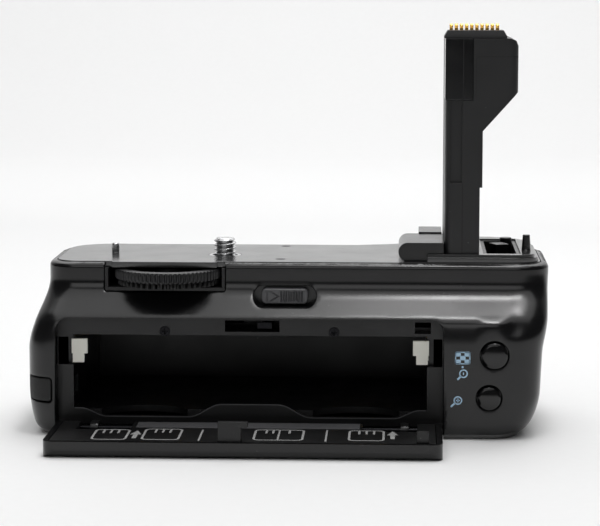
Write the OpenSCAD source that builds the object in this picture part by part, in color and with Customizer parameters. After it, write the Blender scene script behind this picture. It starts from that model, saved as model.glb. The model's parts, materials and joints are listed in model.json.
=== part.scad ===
// Battery grip for a camera: a hollow body that screws under the camera, with a battery bay behind a
// hinged door, a contact tower, an attachment wheel geared to the camera screw, and its own controls.
// Frame: +X to the right seen from behind, +Y towards the lens, +Z up; the origin lies on the axis of
// the camera screw, on the underside of the base. The door is drawn open, lying flat behind the grip.

/* [Body] */
// Left end of the body from the screw axis
body_left = 53.4; // [52.4:0.1:64]
// Right end of the body from the screw axis
body_right = 91.6; // [89.4:0.2:100]
// Height of the covers above the ground
body_height = 47.2; // [45.6:0.2:50]
// Rear face of the lower body behind the screw axis
rear_depth = 29; // [28.6:0.2:32]
// Front face of the lower body ahead of the screw axis
front_depth = 35; // [34.4:0.2:40]
// How far the upper rear face stands in from the lower one
rear_step = 10.3; // [9.6:0.1:10.8]
// How far the upper front face stands in from the lower one
front_step = 8.3; // [4:0.1:9]
// How far the left end flares out towards the ground
left_flare = 4.6; // [3:0.1:8]
// Wall of the two covers
wall = 2; // [1.6:0.1:2.2]
// Thickness of the top plate
plate = 1.6; // [1.2:0.1:1.8]

/* [Battery bay] */
// Clear width of the bay
bay_width = 98.2; // [92:0.2:99]
// Clear height of the bay
bay_height = 21.2; // [20.5:0.1:21.9]
// Middle of the bay from the screw axis
bay_middle = 8.6; // [8:0.1:9.2]
// Walls of the bay
bay_wall = 1.8; // [1.4:0.1:2]
// Travel of the battery locks
lever_travel = 3.4; // [2:0.1:3.6]

/* [Door] */
// Thickness of the door
door_thickness = 4.4; // [4:0.1:4.8]
// Gap round the closed door
door_gap = 0.4; // [0.3:0.05:0.6]
// Diameter of the hinge pins
hinge_pin = 1.2; // [1:0.1:1.4]
// Travel of the door lock to either side
lock_travel = 1.8; // [1.4:0.1:1.9]

/* [Camera screw] */
// Major diameter of the camera screw thread
screw_diameter = 6.35; // [5.5:0.05:6.6]
// Reach of the screw above the top plate
screw_reach = 4.8; // [4:0.1:6]
// Radius of the attachment wheel
wheel_radius = 15.2; // [14.8:0.1:15.4]
// Teeth of the wheel gear
wheel_teeth = 46; // [45:1:47]
// Teeth of the screw gear
screw_teeth = 19; // [18:1:20]
// Gear module
gear_module = 0.6; // [0.59:0.005:0.61]
// Diameter of the locating pin
pin_diameter = 2.2; // [1.6:0.1:3]

/* [Contact tower] */
// Left face of the tower from the right end of the body
tower_left = 29.2; // [28.4:0.1:29.6]
// Width of the tower head
tower_width = 20.1; // [18.6:0.1:20.6]
// Depth of the tower
tower_depth = 36.8; // [30:0.2:38]
// Top of the tower shells above the ground
tower_top = 109.4; // [100:0.2:116]
// Wall of the tower shells
tower_wall = 1.6; // [1.2:0.1:2]

/* [Controls] */
// Diameter of the upper rear button
upper_button_size = 7.2; // [6:0.1:7.8]
// Diameter of the lower rear button
lower_button_size = 6.4; // [5:0.1:6.8]
// Travel of the rear buttons
button_travel = 0.7; // [0.4:0.05:0.8]
// Radius of the control dial
dial_radius = 6.4; // [6:0.1:6.6]
// Diameter of the shutter button
shutter_size = 7.6; // [6.6:0.1:8]

/* [Hidden] */
$fn = 48;
e = 0.02;

// Derived heights and planes
skirt = 1.2;
top_z = body_height + 0.2;
plate_z = top_z - plate;
rear_top = rear_depth - rear_step;
front_top = front_depth - front_step;
front_y = -(rear_depth - door_thickness - door_gap);
frame_t = 1.6;
bay_y0 = front_y + frame_t;
bay_back = bay_wall - 0.6;
bay_y1 = front_depth - wall - 1.2 - bay_back;
bay_x0 = bay_middle - bay_width / 2;
bay_x1 = bay_middle + bay_width / 2;
floor_z = 6.6;
roof_z = floor_z + bay_height;
roof_top = roof_z + bay_wall;
open_x0 = bay_x0 - 4.4;
open_x1 = bay_x1 + 4.4;
open_z = roof_top + 3.2;
open_r = 3.5;
latch_z = roof_top - 0.3;
split_y = 10;
tower_x = body_right - tower_left;

// Smooth steps used by the body outline
function mix(a, b, t) = a + (b - a) * t;
function clip01(t) = max(0, min(1, t));
function ease(t) = let (u = clip01(t)) u * u * (3 - 2 * u);
function ramp(t, v, w) = t < -v ? 0 : t < v ? pow(t + v, 2) / (4 * v) : t < 1 - w ? t
  : t < 1 + w ? 1 - pow(1 + w - t, 2) / (4 * w) : 1;
function round_in(z, rz, rx) = z >= rz ? 0 : rx * (1 - sqrt(max(0, 1 - pow((rz - z) / rz, 2))));
function rim_in(z, on) = on * round_in(body_height - z, 1.6, 1.6);

// Outline of the body at a height: left end, right end, rear face and front face
straight_z = body_height - 2.5;
slope_z0 = open_z - 0.1;
slope_z1 = body_height - 7.4;
function left_x(z) = -body_left + left_flare * ease((z - 23.2) / (body_height - 28.2))
  + 0.0135 * pow(max(0, 13 - z), 2) + round_in(z, 3, 2);
function right_x(z) = body_right - 2 * clip01(1 - z / straight_z) - 1.1 * ease((33 - z) / 10)
  - round_in(z, 13, 7.5);
function shelf_y(x, z) = let (s = z - 1.9 * exp(-pow((x - 76.2) / 5.4, 2)))
  -rear_depth + rear_step * ramp((s - slope_z0) / (slope_z1 - slope_z0), 0.16, 0.3);
function pillar_y(z) = -rear_depth + rear_step * ease((z - 21) / (straight_z - 21));
function rear_y(x, z) = mix(shelf_y(x, z), pillar_y(z), ease((x - 76) / 9)) + round_in(z, 4, 3);
function waist_y(z) = front_depth - front_step * ease((z - 31.7) / (straight_z - 31.7));
function grip_y(z) = front_depth - 1.5 * ease((z - 10) / (straight_z - 10));
function front_y_at(x, z) = mix(waist_y(z), grip_y(z), ease((x - 38) / 20)) - round_in(z, 5, 4);

// One ring of outline points at a height, moved in by t, with a rounded top rim when on is 1
rear_shares = concat([for (i = [1:14]) i / 18], [0.82, 0.86, 0.895, 0.93, 0.965]);
function arc(cx, cy, r, a0, n) = [for (i = [0:n]) let (a = a0 + 90 * i / n)
  [cx + r * cos(a), cy + r * sin(a)]];
function ring(z, t, on) = let (k = t + rim_in(z, on), l = left_x(z) + k, r = right_x(z) - k,
    a = 9 - t, b = 9 - t, c = 18 - t, d = 14 - t,
    ya = rear_y(l + a, z) + k, yb = rear_y(r - b, z) + k,
    yc = front_y_at(r - c, z) - k, yd = front_y_at(l + d, z) - k)
  concat(arc(l + a, ya + a, a, 180, 5),
    [for (f = rear_shares) let (x = mix(l + a, r - b, f)) [x, rear_y(x, z) + k]],
    arc(r - b, yb + b, b, 270, 5), arc(r - c, yc - c, c, 0, 7),
    [for (i = [1:11]) let (x = mix(r - c, l + d, i / 12)) [x, front_y_at(x, z) - k]],
    arc(l + d, yd - d, d, 90, 6));
level_shares = [0, 0.065, 0.16, 0.29, 0.4, 0.51, 0.62, 0.675, 0.71, 0.74, 0.78, 0.84, 0.89, 0.93, 0.96, 1];
side_levels = [for (f = level_shares) mix(5.2, body_height - 4, f)];
levels = concat([skirt, 1.7, 2.5, 3.6], side_levels, [straight_z, body_height - 1.6, body_height - 1.1,
  body_height - 0.5, body_height - 0.12, body_height + 1]);
inner_levels = concat([0.4, 2.5], side_levels, [body_height + 3]);

// Closed solid through a stack of rings
module loft(heights, t, on) {
  rings = [for (z = heights) [for (p = ring(z, t, on)) [p[0], p[1], z]]];
  n = len(rings[0]);
  m = len(heights);
  points = [for (g = rings) each g];
  sides = [for (j = [0:m - 2]) for (i = [0:n - 1]) let (k = (i + 1) % n)
    each [[j * n + i, (j + 1) * n + i, (j + 1) * n + k], [j * n + i, (j + 1) * n + k, j * n + k]]];
  bottom = [[for (i = [0:n - 1]) i]];
  top = [[for (i = [n - 1:-1:0]) (m - 1) * n + i]];
  polyhedron(points = points, faces = concat(sides, bottom, top), convexity = 8);
}

// Shared shapes
module box(x0, x1, y0, y1, z0, z1) {
  translate([x0, y0, z0]) cube([x1 - x0, y1 - y0, z1 - z0]);
}
module rrect(x0, x1, y0, y1, r) {
  translate([x0 + r, y0]) square([x1 - x0 - 2 * r, y1 - y0]);
  translate([x0, y0 + r]) square([x1 - x0, y1 - y0 - 2 * r]);
  for (x = [x0 + r, x1 - r], y = [y0 + r, y1 - r]) translate([x, y]) circle(r);
}
module stadium(cx, cz, w, h) {
  translate([cx - (w - h) / 2, cz - h / 2]) square([w - h, h]);
  for (s = [-1, 1]) translate([cx + s * (w - h) / 2, cz]) circle(h / 2);
}
// Extrude a drawing in X and Z from y0 to y1
module along_y(y0, y1) {
  translate([0, y1, 0]) rotate([90, 0, 0]) linear_extrude(y1 - y0) children();
}
module rod_z(x, y, z0, z1, r) {
  translate([x, y, z0]) cylinder(h = z1 - z0, r = r);
}
module rod_y(x, z, y0, y1, r) {
  translate([x, y0, z]) rotate([-90, 0, 0]) cylinder(h = y1 - y0, r = r);
}
module rod_x(y, z, x0, x1, r) {
  translate([x0, y, z]) rotate([0, 90, 0]) cylinder(h = x1 - x0, r = r);
}

// Gear centres, then the places of the features in the covers
centre_distance = gear_module * (wheel_teeth + screw_teeth) / 2;
wheel_x = -14.9;
wheel_y = -sqrt(pow(centre_distance, 2) - pow(wheel_x, 2));
mesh_a = atan2(-wheel_y, -wheel_x);
lock_x = 18.2;
lock_z = (open_z + body_height) / 2 - 1.7;
knob_w = 12.8;
stem_w = 4;
lock_w = knob_w + 2 * lock_travel + 1;
claw_x = 10.2;
bolt_x = 14.7;
slot_x = 1.8;
slot_w = bolt_x + lock_travel + 0.4 - slot_x;
button_x = mix(open_x1, body_right, 0.475);
upper_z = 23.4;
lower_z = 11.6;
upper_r = upper_button_size / 2;
lower_r = lower_button_size / 2;
switch_y = 1;
switch_z = 15;
switch_x = right_x(switch_z);
notch_x0 = wheel_x - 17.4;
notch_x1 = wheel_x + 16.4;
notch_z = body_height - 8;
cord_z0 = 9.3;
cord_z1 = 16.3;
cord_x = open_x0 - 1;
cord_y = -rear_depth + 6.7;

module rear_half() {
  box(-200, 200, -200, split_y, -10, body_height);
}
module rear_cover() {
  color([0.10, 0.10, 0.11])
  difference() {
    intersection() {
      loft(levels, 0, 1);
      rear_half();
      union() {
        difference() {
          box(-200, 200, -200, 200, 0, 200);
          loft(inner_levels, wall, 0);
        }
        along_y(-rear_depth - 1, front_y - 0.1)
          difference() {
            translate([open_x0 - 1.5, skirt]) square([open_x1 - open_x0 + 3, open_z + 1.5 - skirt]);
            translate([open_x0 + 1, -5]) square([open_x1 - open_x0 - 2, open_z + 4]);
          }
        along_y(-rear_depth - 1, front_y - 0.1)
          translate([open_x0 + 0.5, open_z - 4]) square([open_x1 - open_x0 - 1, 5.5]);
        along_y(-rear_depth - 1, -rear_top + 2.2) stadium(lock_x, lock_z, lock_w + 1.6, 7.1);
        for (x = [button_x - 6, button_x + 3.4]) rod_y(x, 16.3, -rear_depth + 1, -rear_depth + 6.4, 1.8);
      }
    }
    along_y(-rear_depth - 5, front_y + 4) rrect(open_x0, open_x1, -20, open_z, open_r);
    box(notch_x0, notch_x1, -rear_depth - 5, -rear_top + 6, notch_z, body_height + 5);
    along_y(-rear_depth - 5, -rear_top + 1.2) stadium(lock_x, lock_z, lock_w, 5.5);
    box(lock_x - stem_w / 2 - lock_travel - 0.8, lock_x + stem_w / 2 + lock_travel + 0.8,
      -rear_top - 2, -rear_top + 4, lock_z - 0.9, lock_z + 0.9);
    rod_y(button_x, upper_z, -rear_depth - 5, -rear_depth + 8, upper_r + 0.25);
    rod_y(button_x - 1.4, lower_z, -rear_depth - 5, -rear_depth + 8, lower_r + 0.25);
    box(-100, cord_x, -rear_depth - 5, cord_y, cord_z0, cord_z1);
    box(switch_x - 8, switch_x + 5, switch_y - 4.2, switch_y + 4.2, switch_z - 1.8, switch_z + 1.8);
  }
}
shutter_z = 25.8;
corner_x = right_x(shutter_z) - 18;
corner_y = front_y_at(right_x(shutter_z) - 18, shutter_z) - 18;
shutter_a = 62;
dial_a = 8;
dial_x = corner_x + (18 + 1 - dial_radius) * cos(dial_a);
dial_y = corner_y + (18 + 1 - dial_radius) * sin(dial_a);
cup_r = shutter_size / 2 + 1.2;
// Place a drawing made along Z on the axis of the shutter button
module on_shutter() {
  translate([corner_x, corner_y, shutter_z]) rotate([0, 0, shutter_a]) rotate([0, 90, 0]) children();
}
module front_cover() {
  color([0.11, 0.11, 0.12])
  difference() {
    intersection() {
      loft(levels, 0, 1);
      box(-200, 200, split_y, 200, -10, body_height);
    }
    loft(inner_levels, wall, 0);
    on_shutter() cylinder(h = 30, r = cup_r);
    translate([corner_x, corner_y, shutter_z]) rotate([0, 0, dial_a])
      box(9, 30, -dial_radius - 0.5, dial_radius + 0.5, -3.4, 3.4);
  }
}

// Plates
tray_x0 = tower_x + 11;
tray_x1 = tray_x0 + 10.4;
tray_y0 = -11.8;
tray_y1 = 24;
module top_plate() {
  color([0.16, 0.16, 0.17])
  difference() {
    translate([0, 0, plate_z]) linear_extrude(plate) {
      polygon(ring(body_height - 2, wall + 0.25, 0));
      translate([notch_x0 + 2, -rear_top + 0.5]) square([notch_x1 - notch_x0 - 4.4, 6]);
    }
    rod_z(0, 0, 40, 60, screw_diameter / 2 + 1.5);
    rod_z(pin_x, pin_y, 40, 60, pin_diameter / 2 + 0.32);
    box(tray_x0, tray_x1, tray_y0, tray_y1, 30, 60);
    rod_z(tower_x + 4.6, 0, 30, 60, 2.4);
    difference() {
      box(-200, 200, -200, -rear_top + wall + 0.35, 0, 90);
      box(notch_x0 + 2, notch_x1 - 2.4, -rear_top + 0.5, 0, 0, 90);
    }
  }
}
pad_spots = [-18, body_right - 20];
module base_outline(t) {
  polygon(ring(skirt, t, 0));
}
screw_spots = [[bay_x0 + 6, -6], [bay_x1 - 6, -6], [bay_x0 + 6, 24], [bay_x1 - 6, 24]];
module base_plate() {
  color([0.13, 0.13, 0.14])
  difference() {
    union() {
      linear_extrude(skirt) base_outline(1.1);
      translate([0, 0, skirt - e]) linear_extrude(1.2 + e) base_outline(wall + 2.2);
    }
    box(open_x0 - 0.4, open_x1 + 0.4, -100, bay_y0 + 0.3, -5, 20);
    rod_z(0, 0, -5, 20, 7);
    for (p = screw_spots) rod_z(p[0], p[1], -5, 20, 1.1);
    for (p = screw_spots) rod_z(p[0], p[1], -5, 0.9, 2.2);
    for (x = pad_spots, s = [-1, 1]) along_pad(x, s) rrect(-7, 7, -2.2, 2.2, 2);
  }
}
// Pockets for the four base pads
module along_pad(x, s) {
  translate([x, 8 + s * 15, -1]) linear_extrude(1.5) children();
}
module base_pads() {
  color([0.07, 0.07, 0.07])
  for (x = pad_spots, s = [-1, 1]) translate([x, 8 + s * 15, 0]) linear_extrude(0.5)
    rrect(-6.9, 6.9, -2.1, 2.1, 1.9);
}
module base_screws() {
  color([0.45, 0.45, 0.47])
  for (p = screw_spots) difference() {
    union() {
      rod_z(p[0], p[1], 0.15, 0.9, 2.1);
      rod_z(p[0], p[1], 0.9 - e, floor_z - 0.4, 1.05);
    }
    for (a = [0, 90]) translate([p[0], p[1], 0]) rotate([0, 0, a]) box(-1.3, 1.3, -0.25, 0.25, -1, 0.5);
  }
}
module tripod_socket() {
  color([0.72, 0.72, 0.73])
  difference() {
    union() {
      rod_z(0, 0, 0, 2.4, 6.95);
      rod_z(0, 0, 2.4 - e, floor_z - 0.4, 5.4);
    }
    rod_z(0, 0, -1, floor_z - 0.9, screw_diameter / 2);
  }
}

// Battery bay: the packs stand side by side, with three spring contacts behind each
pack_x = 29.5;
contact_z = 21.6;
contact_spots = [for (s = [-1, 1]) for (d = [-6, 0, 6]) bay_middle + s * pack_x + d];
frame_screw_spots = [-14.9, 32];
frame_screw_z = roof_z + 1;
posts = [[bay_x0 + 5, 14], [12, 17], [45, -7], [50, 22]];
module battery_bay() {
  color([0.09, 0.09, 0.10])
  difference() {
    union() {
      box(bay_x0 - bay_wall, bay_x1 + bay_wall, bay_y0, bay_y1 + bay_back, floor_z - bay_wall, roof_top);
      for (p = screw_spots) rod_z(p[0], p[1], 2.4, floor_z - bay_wall + e, 3);
      for (p = posts) rod_z(p[0], p[1], roof_top - e, plate_z, 2);
      for (p = housing_spots) rod_z(p[0], p[1], roof_top - e, notch_z + 0.2, 2);
      for (p = board_spots) rod_z(p[0], p[1], roof_top - e, roof_top + 2, 1.8);
    }
    box(bay_x0, bay_x1, bay_y0 - 5, bay_y1, floor_z, roof_z);
    translate([bay_x0 - bay_wall, bay_y1 + bay_back, 0]) rotate([0, 0, 45])
      box(-5, 5, -bay_wall / sqrt(2), bay_wall / sqrt(2), 0, 60);
    for (s = [-1, 1]) rod_z(bay_middle + s * pack_x, bay_y0 - 9, 0, floor_z + 1, 15);
    for (s = [-1, 1]) box(bay_middle + s * bay_width / 2 - 2.5, bay_middle + s * bay_width / 2 + 2.5,
      bay_y0 - 1, bay_y0 + 1.6, lever_z0 - 0.8, roof_z);
    box(bay_x0 - 5, bay_x0 + 1, bay_y0 - 1, bay_y0 + 7, cord_z0 + 0.7, cord_z1 - 0.7);
    box(slot_x - 3.3, bolt_x + lock_travel + 5.7, bay_y0 - 1, -rear_top + 5.6, latch_z - 0.5, roof_top + 1);
    box(bay_x1 - 5, bay_x1 + 2, bay_y0 - 1, bay_y0 + 3, roof_z + 0.6, roof_top + 1);
    rod_z(0, 0, -5, floor_z - 0.4, 5.5);
    for (p = screw_spots) rod_z(p[0], p[1], -5, floor_z - 0.4, 1.1);
    for (x = contact_spots) box(x - 1.4, x + 1.4, bay_y1 - 1, bay_y1 + 5, contact_z - 1.8, contact_z + 1.8);
    for (s = [-1, 1]) rod_y(bay_middle + s * 40, 25.4, bay_y1 - 1, bay_y1 + 0.8, 1.5);
    for (x = frame_screw_spots) rod_y(x, frame_screw_z, bay_y0 - 1, bay_y0 + 3.5, 0.62);
  }
}
// Curved lower lip of the frame with a finger notch for each battery pack
function lip_z(x) = 4.9 + 3.6 * (1 - ease((abs(x - bay_middle) - 8) / 9))
  + 2.3 * ease((abs(x - bay_middle) - 40) / 7);
lip_n = 40;
lever_z0 = 19.9;
lever_z1 = 26.5;
lever_out = 0.5;
lever_room = lever_out + lever_travel + 0.3;
module bay_frame() {
  color([0.07, 0.07, 0.08])
  difference() {
    union() {
      along_y(front_y, bay_y0) difference() {
        translate([open_x0 - 1.6, 2.6]) square([open_x1 - open_x0 + 3.2, open_z - 1.7]);
        polygon(concat([[bay_x1, roof_z], [bay_x0, roof_z]],
          [for (i = [0:lip_n]) let (x = mix(bay_x0, bay_x1, i / lip_n)) [x, lip_z(x)]]));
        for (x = [bay_x0 - lever_room, bay_x1 - 2.8]) translate([x, lever_z0 - 0.6])
          square([lever_room + 2.8, lever_z1 - lever_z0 + 1.2]);
        translate([slot_x, latch_z - 0.5]) square([slot_w, 3.2]);
        translate([bay_x1 - 3.4, latch_z - 0.7]) square([4.4, 3.2]);
        for (x = frame_screw_spots) translate([x, frame_screw_z]) circle(0.62);
      }
      for (x = ear_spots) difference() {
        union() {
          rod_x(hinge_y, hinge_z, x - 1.1, x + 1.1, 1.5);
          box(x - 1.1, x + 1.1, hinge_y, front_y + e, hinge_z - 0.9, hinge_z + 1.5);
          box(x - 1.1, x + 1.1, front_y - e, bay_y0, hinge_z - 0.9, 2.6 + e);
        }
        rod_x(hinge_y, hinge_z, x - 3, x + 3, hinge_pin / 2 + 0.05);
      }
    }
    for (x = frame_screw_spots) rod_y(x, frame_screw_z, front_y - 1, front_y + 0.5, 1.5);
  }
}
module frame_screws() {
  color([0.5, 0.5, 0.52])
  for (x = frame_screw_spots) difference() {
    union() {
      rod_y(x, frame_screw_z, front_y + 0.05, front_y + 0.5, 1.4);
      rod_y(x, frame_screw_z, front_y + 0.5 - e, bay_y0 + 3, 0.6);
    }
    along_y(front_y - 1, front_y + 0.3) translate([x, frame_screw_z]) {
      square([1.6, 0.3], center = true);
      square([0.3, 1.6], center = true);
    }
  }
}
// Spring contacts at the back of the bay, three for each pack
module bay_contacts() {
  color([0.85, 0.68, 0.32])
  for (x = contact_spots) translate([x, bay_y1, contact_z]) {
    box(-1.3, 1.3, 0.2, bay_back, -1.7, 1.7);
    box(-0.9, 0.9, -2.2, 0.2 + e, -0.4, 0.4);
    rotate([0, 90, 0]) translate([0, -2.2, -0.9]) cylinder(h = 1.8, r = 0.9);
  }
}
// Guide ribs on the roof of the bay that keep the packs apart
module bay_guides() {
  color([0.12, 0.12, 0.13])
  for (x = [bay_middle - 10.2, bay_middle + 9]) box(x, x + 1.2, bay_y0 + 6, bay_y1, roof_z - 1.4, roof_z);
}

// Wheel, screw and their housing
wheel_z0 = body_height - 6.4;
wheel_z1 = wheel_z0 + 1.4;
gear_z1 = wheel_z1 + 3.2;
tray_z0 = wheel_z0 - 1.4;
tray_z1 = tray_z0 + 1;
housing_spots = [[notch_x0 + 3, -2], [-8, 4], [4, -9], [wheel_x - 5, -2]];
function inv(a) = tan(a) * 180 / PI - a;
function tooth_a(r, n) = let (rp = gear_module * n / 2, rb = rp * cos(20))
  90 / n - 6.5 / n + inv(20) - inv(acos(min(1, rb / max(r, rb))));
module gear(n, h) {
  rp = gear_module * n / 2;
  ra = rp + 0.92 * gear_module;
  rf = rp - 1.22 * gear_module;
  rs = [max(rp * cos(20), rf + 0.05), rp, rp + 0.5 * gear_module, ra];
  linear_extrude(h) polygon([for (i = [0:n - 1]) let (c = 360 * i / n) each concat(
    [[rf * cos(c - 180 / n), rf * sin(c - 180 / n)]],
    [let (a = c - tooth_a(rs[0], n)) [rf * cos(a), rf * sin(a)]],
    [for (r = rs) let (a = c - tooth_a(r, n)) [r * cos(a), r * sin(a)]],
    [for (j = [3:-1:0]) let (a = c + tooth_a(rs[j], n)) [rs[j] * cos(a), rs[j] * sin(a)]],
    [let (a = c + tooth_a(rs[0], n)) [rf * cos(a), rf * sin(a)]])]);
}
module wheel_housing() {
  color([0.12, 0.12, 0.13])
  difference() {
    union() {
      box(notch_x0 + 0.1, notch_x1 - 0.1, -rear_top - 0.4, -rear_top + 5, tray_z0, tray_z1);
      box(notch_x0 + 0.1, 5.6, -rear_top + wall + 0.4, 7, tray_z0, tray_z1);
      for (x = [notch_x0 + 0.1, notch_x1 - 1]) box(x, x + 0.9, -rear_top, -rear_top + 3.4, tray_z1 - e,
        body_height - 1.5);
      rod_z(wheel_x, wheel_y, tray_z1 - e, wheel_z0 - 0.25, 3.4);
      rod_z(0, 0, tray_z0 - 3, tray_z1, 5);
    }
    rod_z(wheel_x, wheel_y, tray_z0 - 5, 80, 1.5);
    rod_z(0, 0, tray_z0 - 6, 80, 2.55);
  }
}
module wheel_axle() {
  color([0.7, 0.7, 0.72])
  union() {
    rod_z(wheel_x, wheel_y, tray_z0, plate_z, 1.48);
    rod_z(wheel_x, wheel_y, gear_z1 + 0.12, plate_z, 2.4);
  }
}
wheel_ribs = 72;
module attachment_wheel() {
  color([0.08, 0.08, 0.09])
  translate([wheel_x, wheel_y, wheel_z1]) difference() {
    union() {
      cylinder(h = 3.2, r = wheel_radius - 0.45);
      linear_extrude(3.2) for (i = [0:wheel_ribs - 1]) rotate(360 * i / wheel_ribs)
        translate([wheel_radius - 0.9, -0.3]) square([0.9, 0.6]);
    }
    translate([0, 0, -1]) cylinder(h = 6, r = 1.53);
    translate([0, 0, 1.8]) difference() {
      cylinder(h = 2.4, r = wheel_radius - 3);
      cylinder(h = 2.4, r = 4.2);
    }
  }
}
module drive_gear() {
  color([0.75, 0.74, 0.70])
  translate([wheel_x, wheel_y, wheel_z0]) difference() {
    rotate(mesh_a) gear(wheel_teeth, 1.4);
    translate([0, 0, -1]) cylinder(h = 6, r = 1.53);
  }
}
module screw_gear() {
  color([0.80, 0.66, 0.36])
  difference() {
    union() {
      translate([0, 0, wheel_z0]) rotate(mesh_a + 180 + 180 / screw_teeth) gear(screw_teeth, 1.4);
      rod_z(0, 0, tray_z1 + 0.1, gear_z1, 3.9);
    }
    rod_z(0, 0, 0, 80, 2.5);
  }
}
module tripod_screw() {
  color([0.78, 0.78, 0.79])
  rotate_extrude() {
    rs = screw_diameter / 2;
    z1 = top_z + screw_reach;
    z0 = gear_z1 + 0.02;
    polygon([[0, tray_z0 - 3.6], [2.45, tray_z0 - 3.6], [2.45, z0], [rs + 0.9, z0], [rs + 0.9, z0 + 0.3],
      [rs - 0.5, z0 + 0.3], [rs - 0.5, top_z], [rs, top_z], [rs, z1 - 0.7], [rs - 0.7, z1], [0, z1]]);
  }
}
// Ring round the screw in the top plate
module screw_bush() {
  color([0.2, 0.2, 0.21])
  difference() {
    rod_z(0, 0, plate_z + 0.1, top_z, screw_diameter / 2 + 1.45);
    rod_z(0, 0, 40, 60, screw_diameter / 2 + 0.4);
    rod_z(0, 0, 40, plate_z + 0.6, screw_diameter / 2 + 1.1);
  }
}
pin_x = -32;
pin_y = 4;
module locating_pin() {
  color([0.76, 0.76, 0.77])
  rotate_extrude_at(pin_x, pin_y) {
    r = pin_diameter / 2;
    polygon([[0, plate_z - 1.6], [r + 1, plate_z - 1.6], [r + 1, plate_z], [r + 0.3, plate_z],
      [r + 0.3, top_z], [r, top_z], [r, top_z + 2.2], [r - 0.5, top_z + 2.75], [0, top_z + 2.75]]);
  }
}
module rotate_extrude_at(x, y) {
  translate([x, y, 0]) rotate_extrude() children();
}

// Electronics over the bay
board_spots = [[26, 2], [56, 2], [26, 26], [40, 26]];
board_z = roof_top + 2;
module circuit_board() {
  color([0.09, 0.30, 0.18])
  difference() {
    box(23, 59, -1, 29, board_z, board_z + 1.2);
    rod_z(posts[3][0], posts[3][1], 0, 80, 2.6);
  }
}
module board_parts() {
  color([0.12, 0.12, 0.12]) {
    box(29, 38, 6, 15, board_z + 1.2, board_z + 2.6);
    box(42, 47, 4, 7, board_z + 1.2, board_z + 2.2);
    box(27, 37, 20, 23.5, board_z + 1.2, board_z + 4.2);
    rod_z(43, 14, board_z + 1.2, board_z + 6, 2.6);
    rod_z(56, 12, board_z + 1.2, board_z + 5, 2);
  }
}
button_back = -rear_depth + 4.2;
module button_board() {
  color([0.10, 0.32, 0.20])
  box(button_x - 8, button_x + 5.2, -rear_depth + 6.4, -rear_depth + 7.4, 5, 28);
}
module button_switches() {
  color([0.62, 0.62, 0.64])
  for (p = [[button_x, upper_z], [button_x - 1.4, lower_z]]) {
    box(p[0] - 2, p[0] + 2, -rear_depth + 5.4, -rear_depth + 6.4, p[1] - 2, p[1] + 2);
    rod_y(p[0], p[1], button_back + button_travel + 0.25, -rear_depth + 5.4 + e, 1.1);
  }
}
module rear_button(x, z, r) {
  union() {
    intersection() {
      rod_y(x, z, -rear_depth - 3, button_back, r);
      translate([x, -rear_depth - 1.6 + 15, z]) sphere(r = 15, $fn = 96);
    }
    rod_y(x, z, button_back - 1, button_back, r + 0.9);
  }
}
module upper_button() {
  color([0.06, 0.06, 0.07]) rear_button(button_x, upper_z, upper_r);
}
module lower_button() {
  color([0.06, 0.06, 0.07]) rear_button(button_x - 1.4, lower_z, lower_r);
}

// Contact tower
tower_y0 = -13.3;
tower_y1 = tower_y0 + tower_depth;
tower_z = top_z + 2.1;
tower_mid = tower_x + 10.4;
tower_right = tower_x + tower_width;
module tower_profile(t) {
  polygon([[tower_x + t, tower_z - t], [tower_mid - 0.7 - t, tower_z - t],
    [tower_mid - 0.7 - t, tower_z + 18.6], [tower_mid - t, tower_z + 18.6],
    [tower_mid - t, tower_top - 25.6 + 0.5 * t],
    [tower_right - t, tower_top - 14.8 + 0.5 * t], [tower_right - t, tower_top - 2.2],
    [tower_right - 0.65 - t * 0.8, tower_top - 0.65 - t * 0.8], [tower_right - 2.2, tower_top - t],
    [tower_x + 1 + t * 0.6, tower_top - t], [tower_x + t, tower_top - 1 - t * 0.6]]);
}
module tower_plan(t) {
  rrect(tower_x + t, tower_right - t, tower_y0 + t, tower_y1 - t, 2.4 - t);
}
module tower_solid(t) {
  intersection() {
    along_y(tower_y0 - 5, tower_y1 + 5) tower_profile(t);
    linear_extrude(300) tower_plan(t);
  }
}
tower_split = 6;
insert_x = tower_x + 7.6;
insert_z = tower_top - 17;
module tower_cuts() {
  box(insert_x - 20, insert_x + 0.1, tower_y0 - 5, tower_y0 + 1, insert_z - 0.1, tower_top + 5);
  box(tower_x - 5, tower_x + 0.6, tower_y0 - 5, tower_y0 + 12.1, insert_z - 0.1, tower_top + 5);
  box(tower_x + 1.5, tower_x + 4.7, tower_y0 - 5, tower_y0 + 0.9, tower_z + 20, insert_z);
  box(tower_x + 0.6, tower_x + 15.2, tower_y0 + 2.6, tower_y0 + 7.4, tower_top - 5, tower_top + 5);
}
module tower_rear_shell() {
  color([0.07, 0.07, 0.08])
  difference() {
    tower_solid(0);
    tower_solid(tower_wall);
    tower_cuts();
    box(-200, 200, tower_split, 200, 0, 300);
  }
}
module tower_front_shell() {
  color([0.08, 0.08, 0.09])
  difference() {
    tower_solid(0);
    tower_solid(tower_wall);
    box(-200, 200, -200, tower_split, 0, 300);
  }
}
module tower_insert() {
  color([0.05, 0.05, 0.05])
  union() {
    box(tower_x - 0.1, insert_x, tower_y0 - 0.25, tower_y0 + 1, insert_z, tower_top);
    box(tower_x - 0.1, tower_x + 0.5, tower_y0, tower_y0 + 12, insert_z, tower_top);
  }
}
carrier_x0 = tower_x - 0.45;
carrier_z = tower_top + 2.2;
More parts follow.
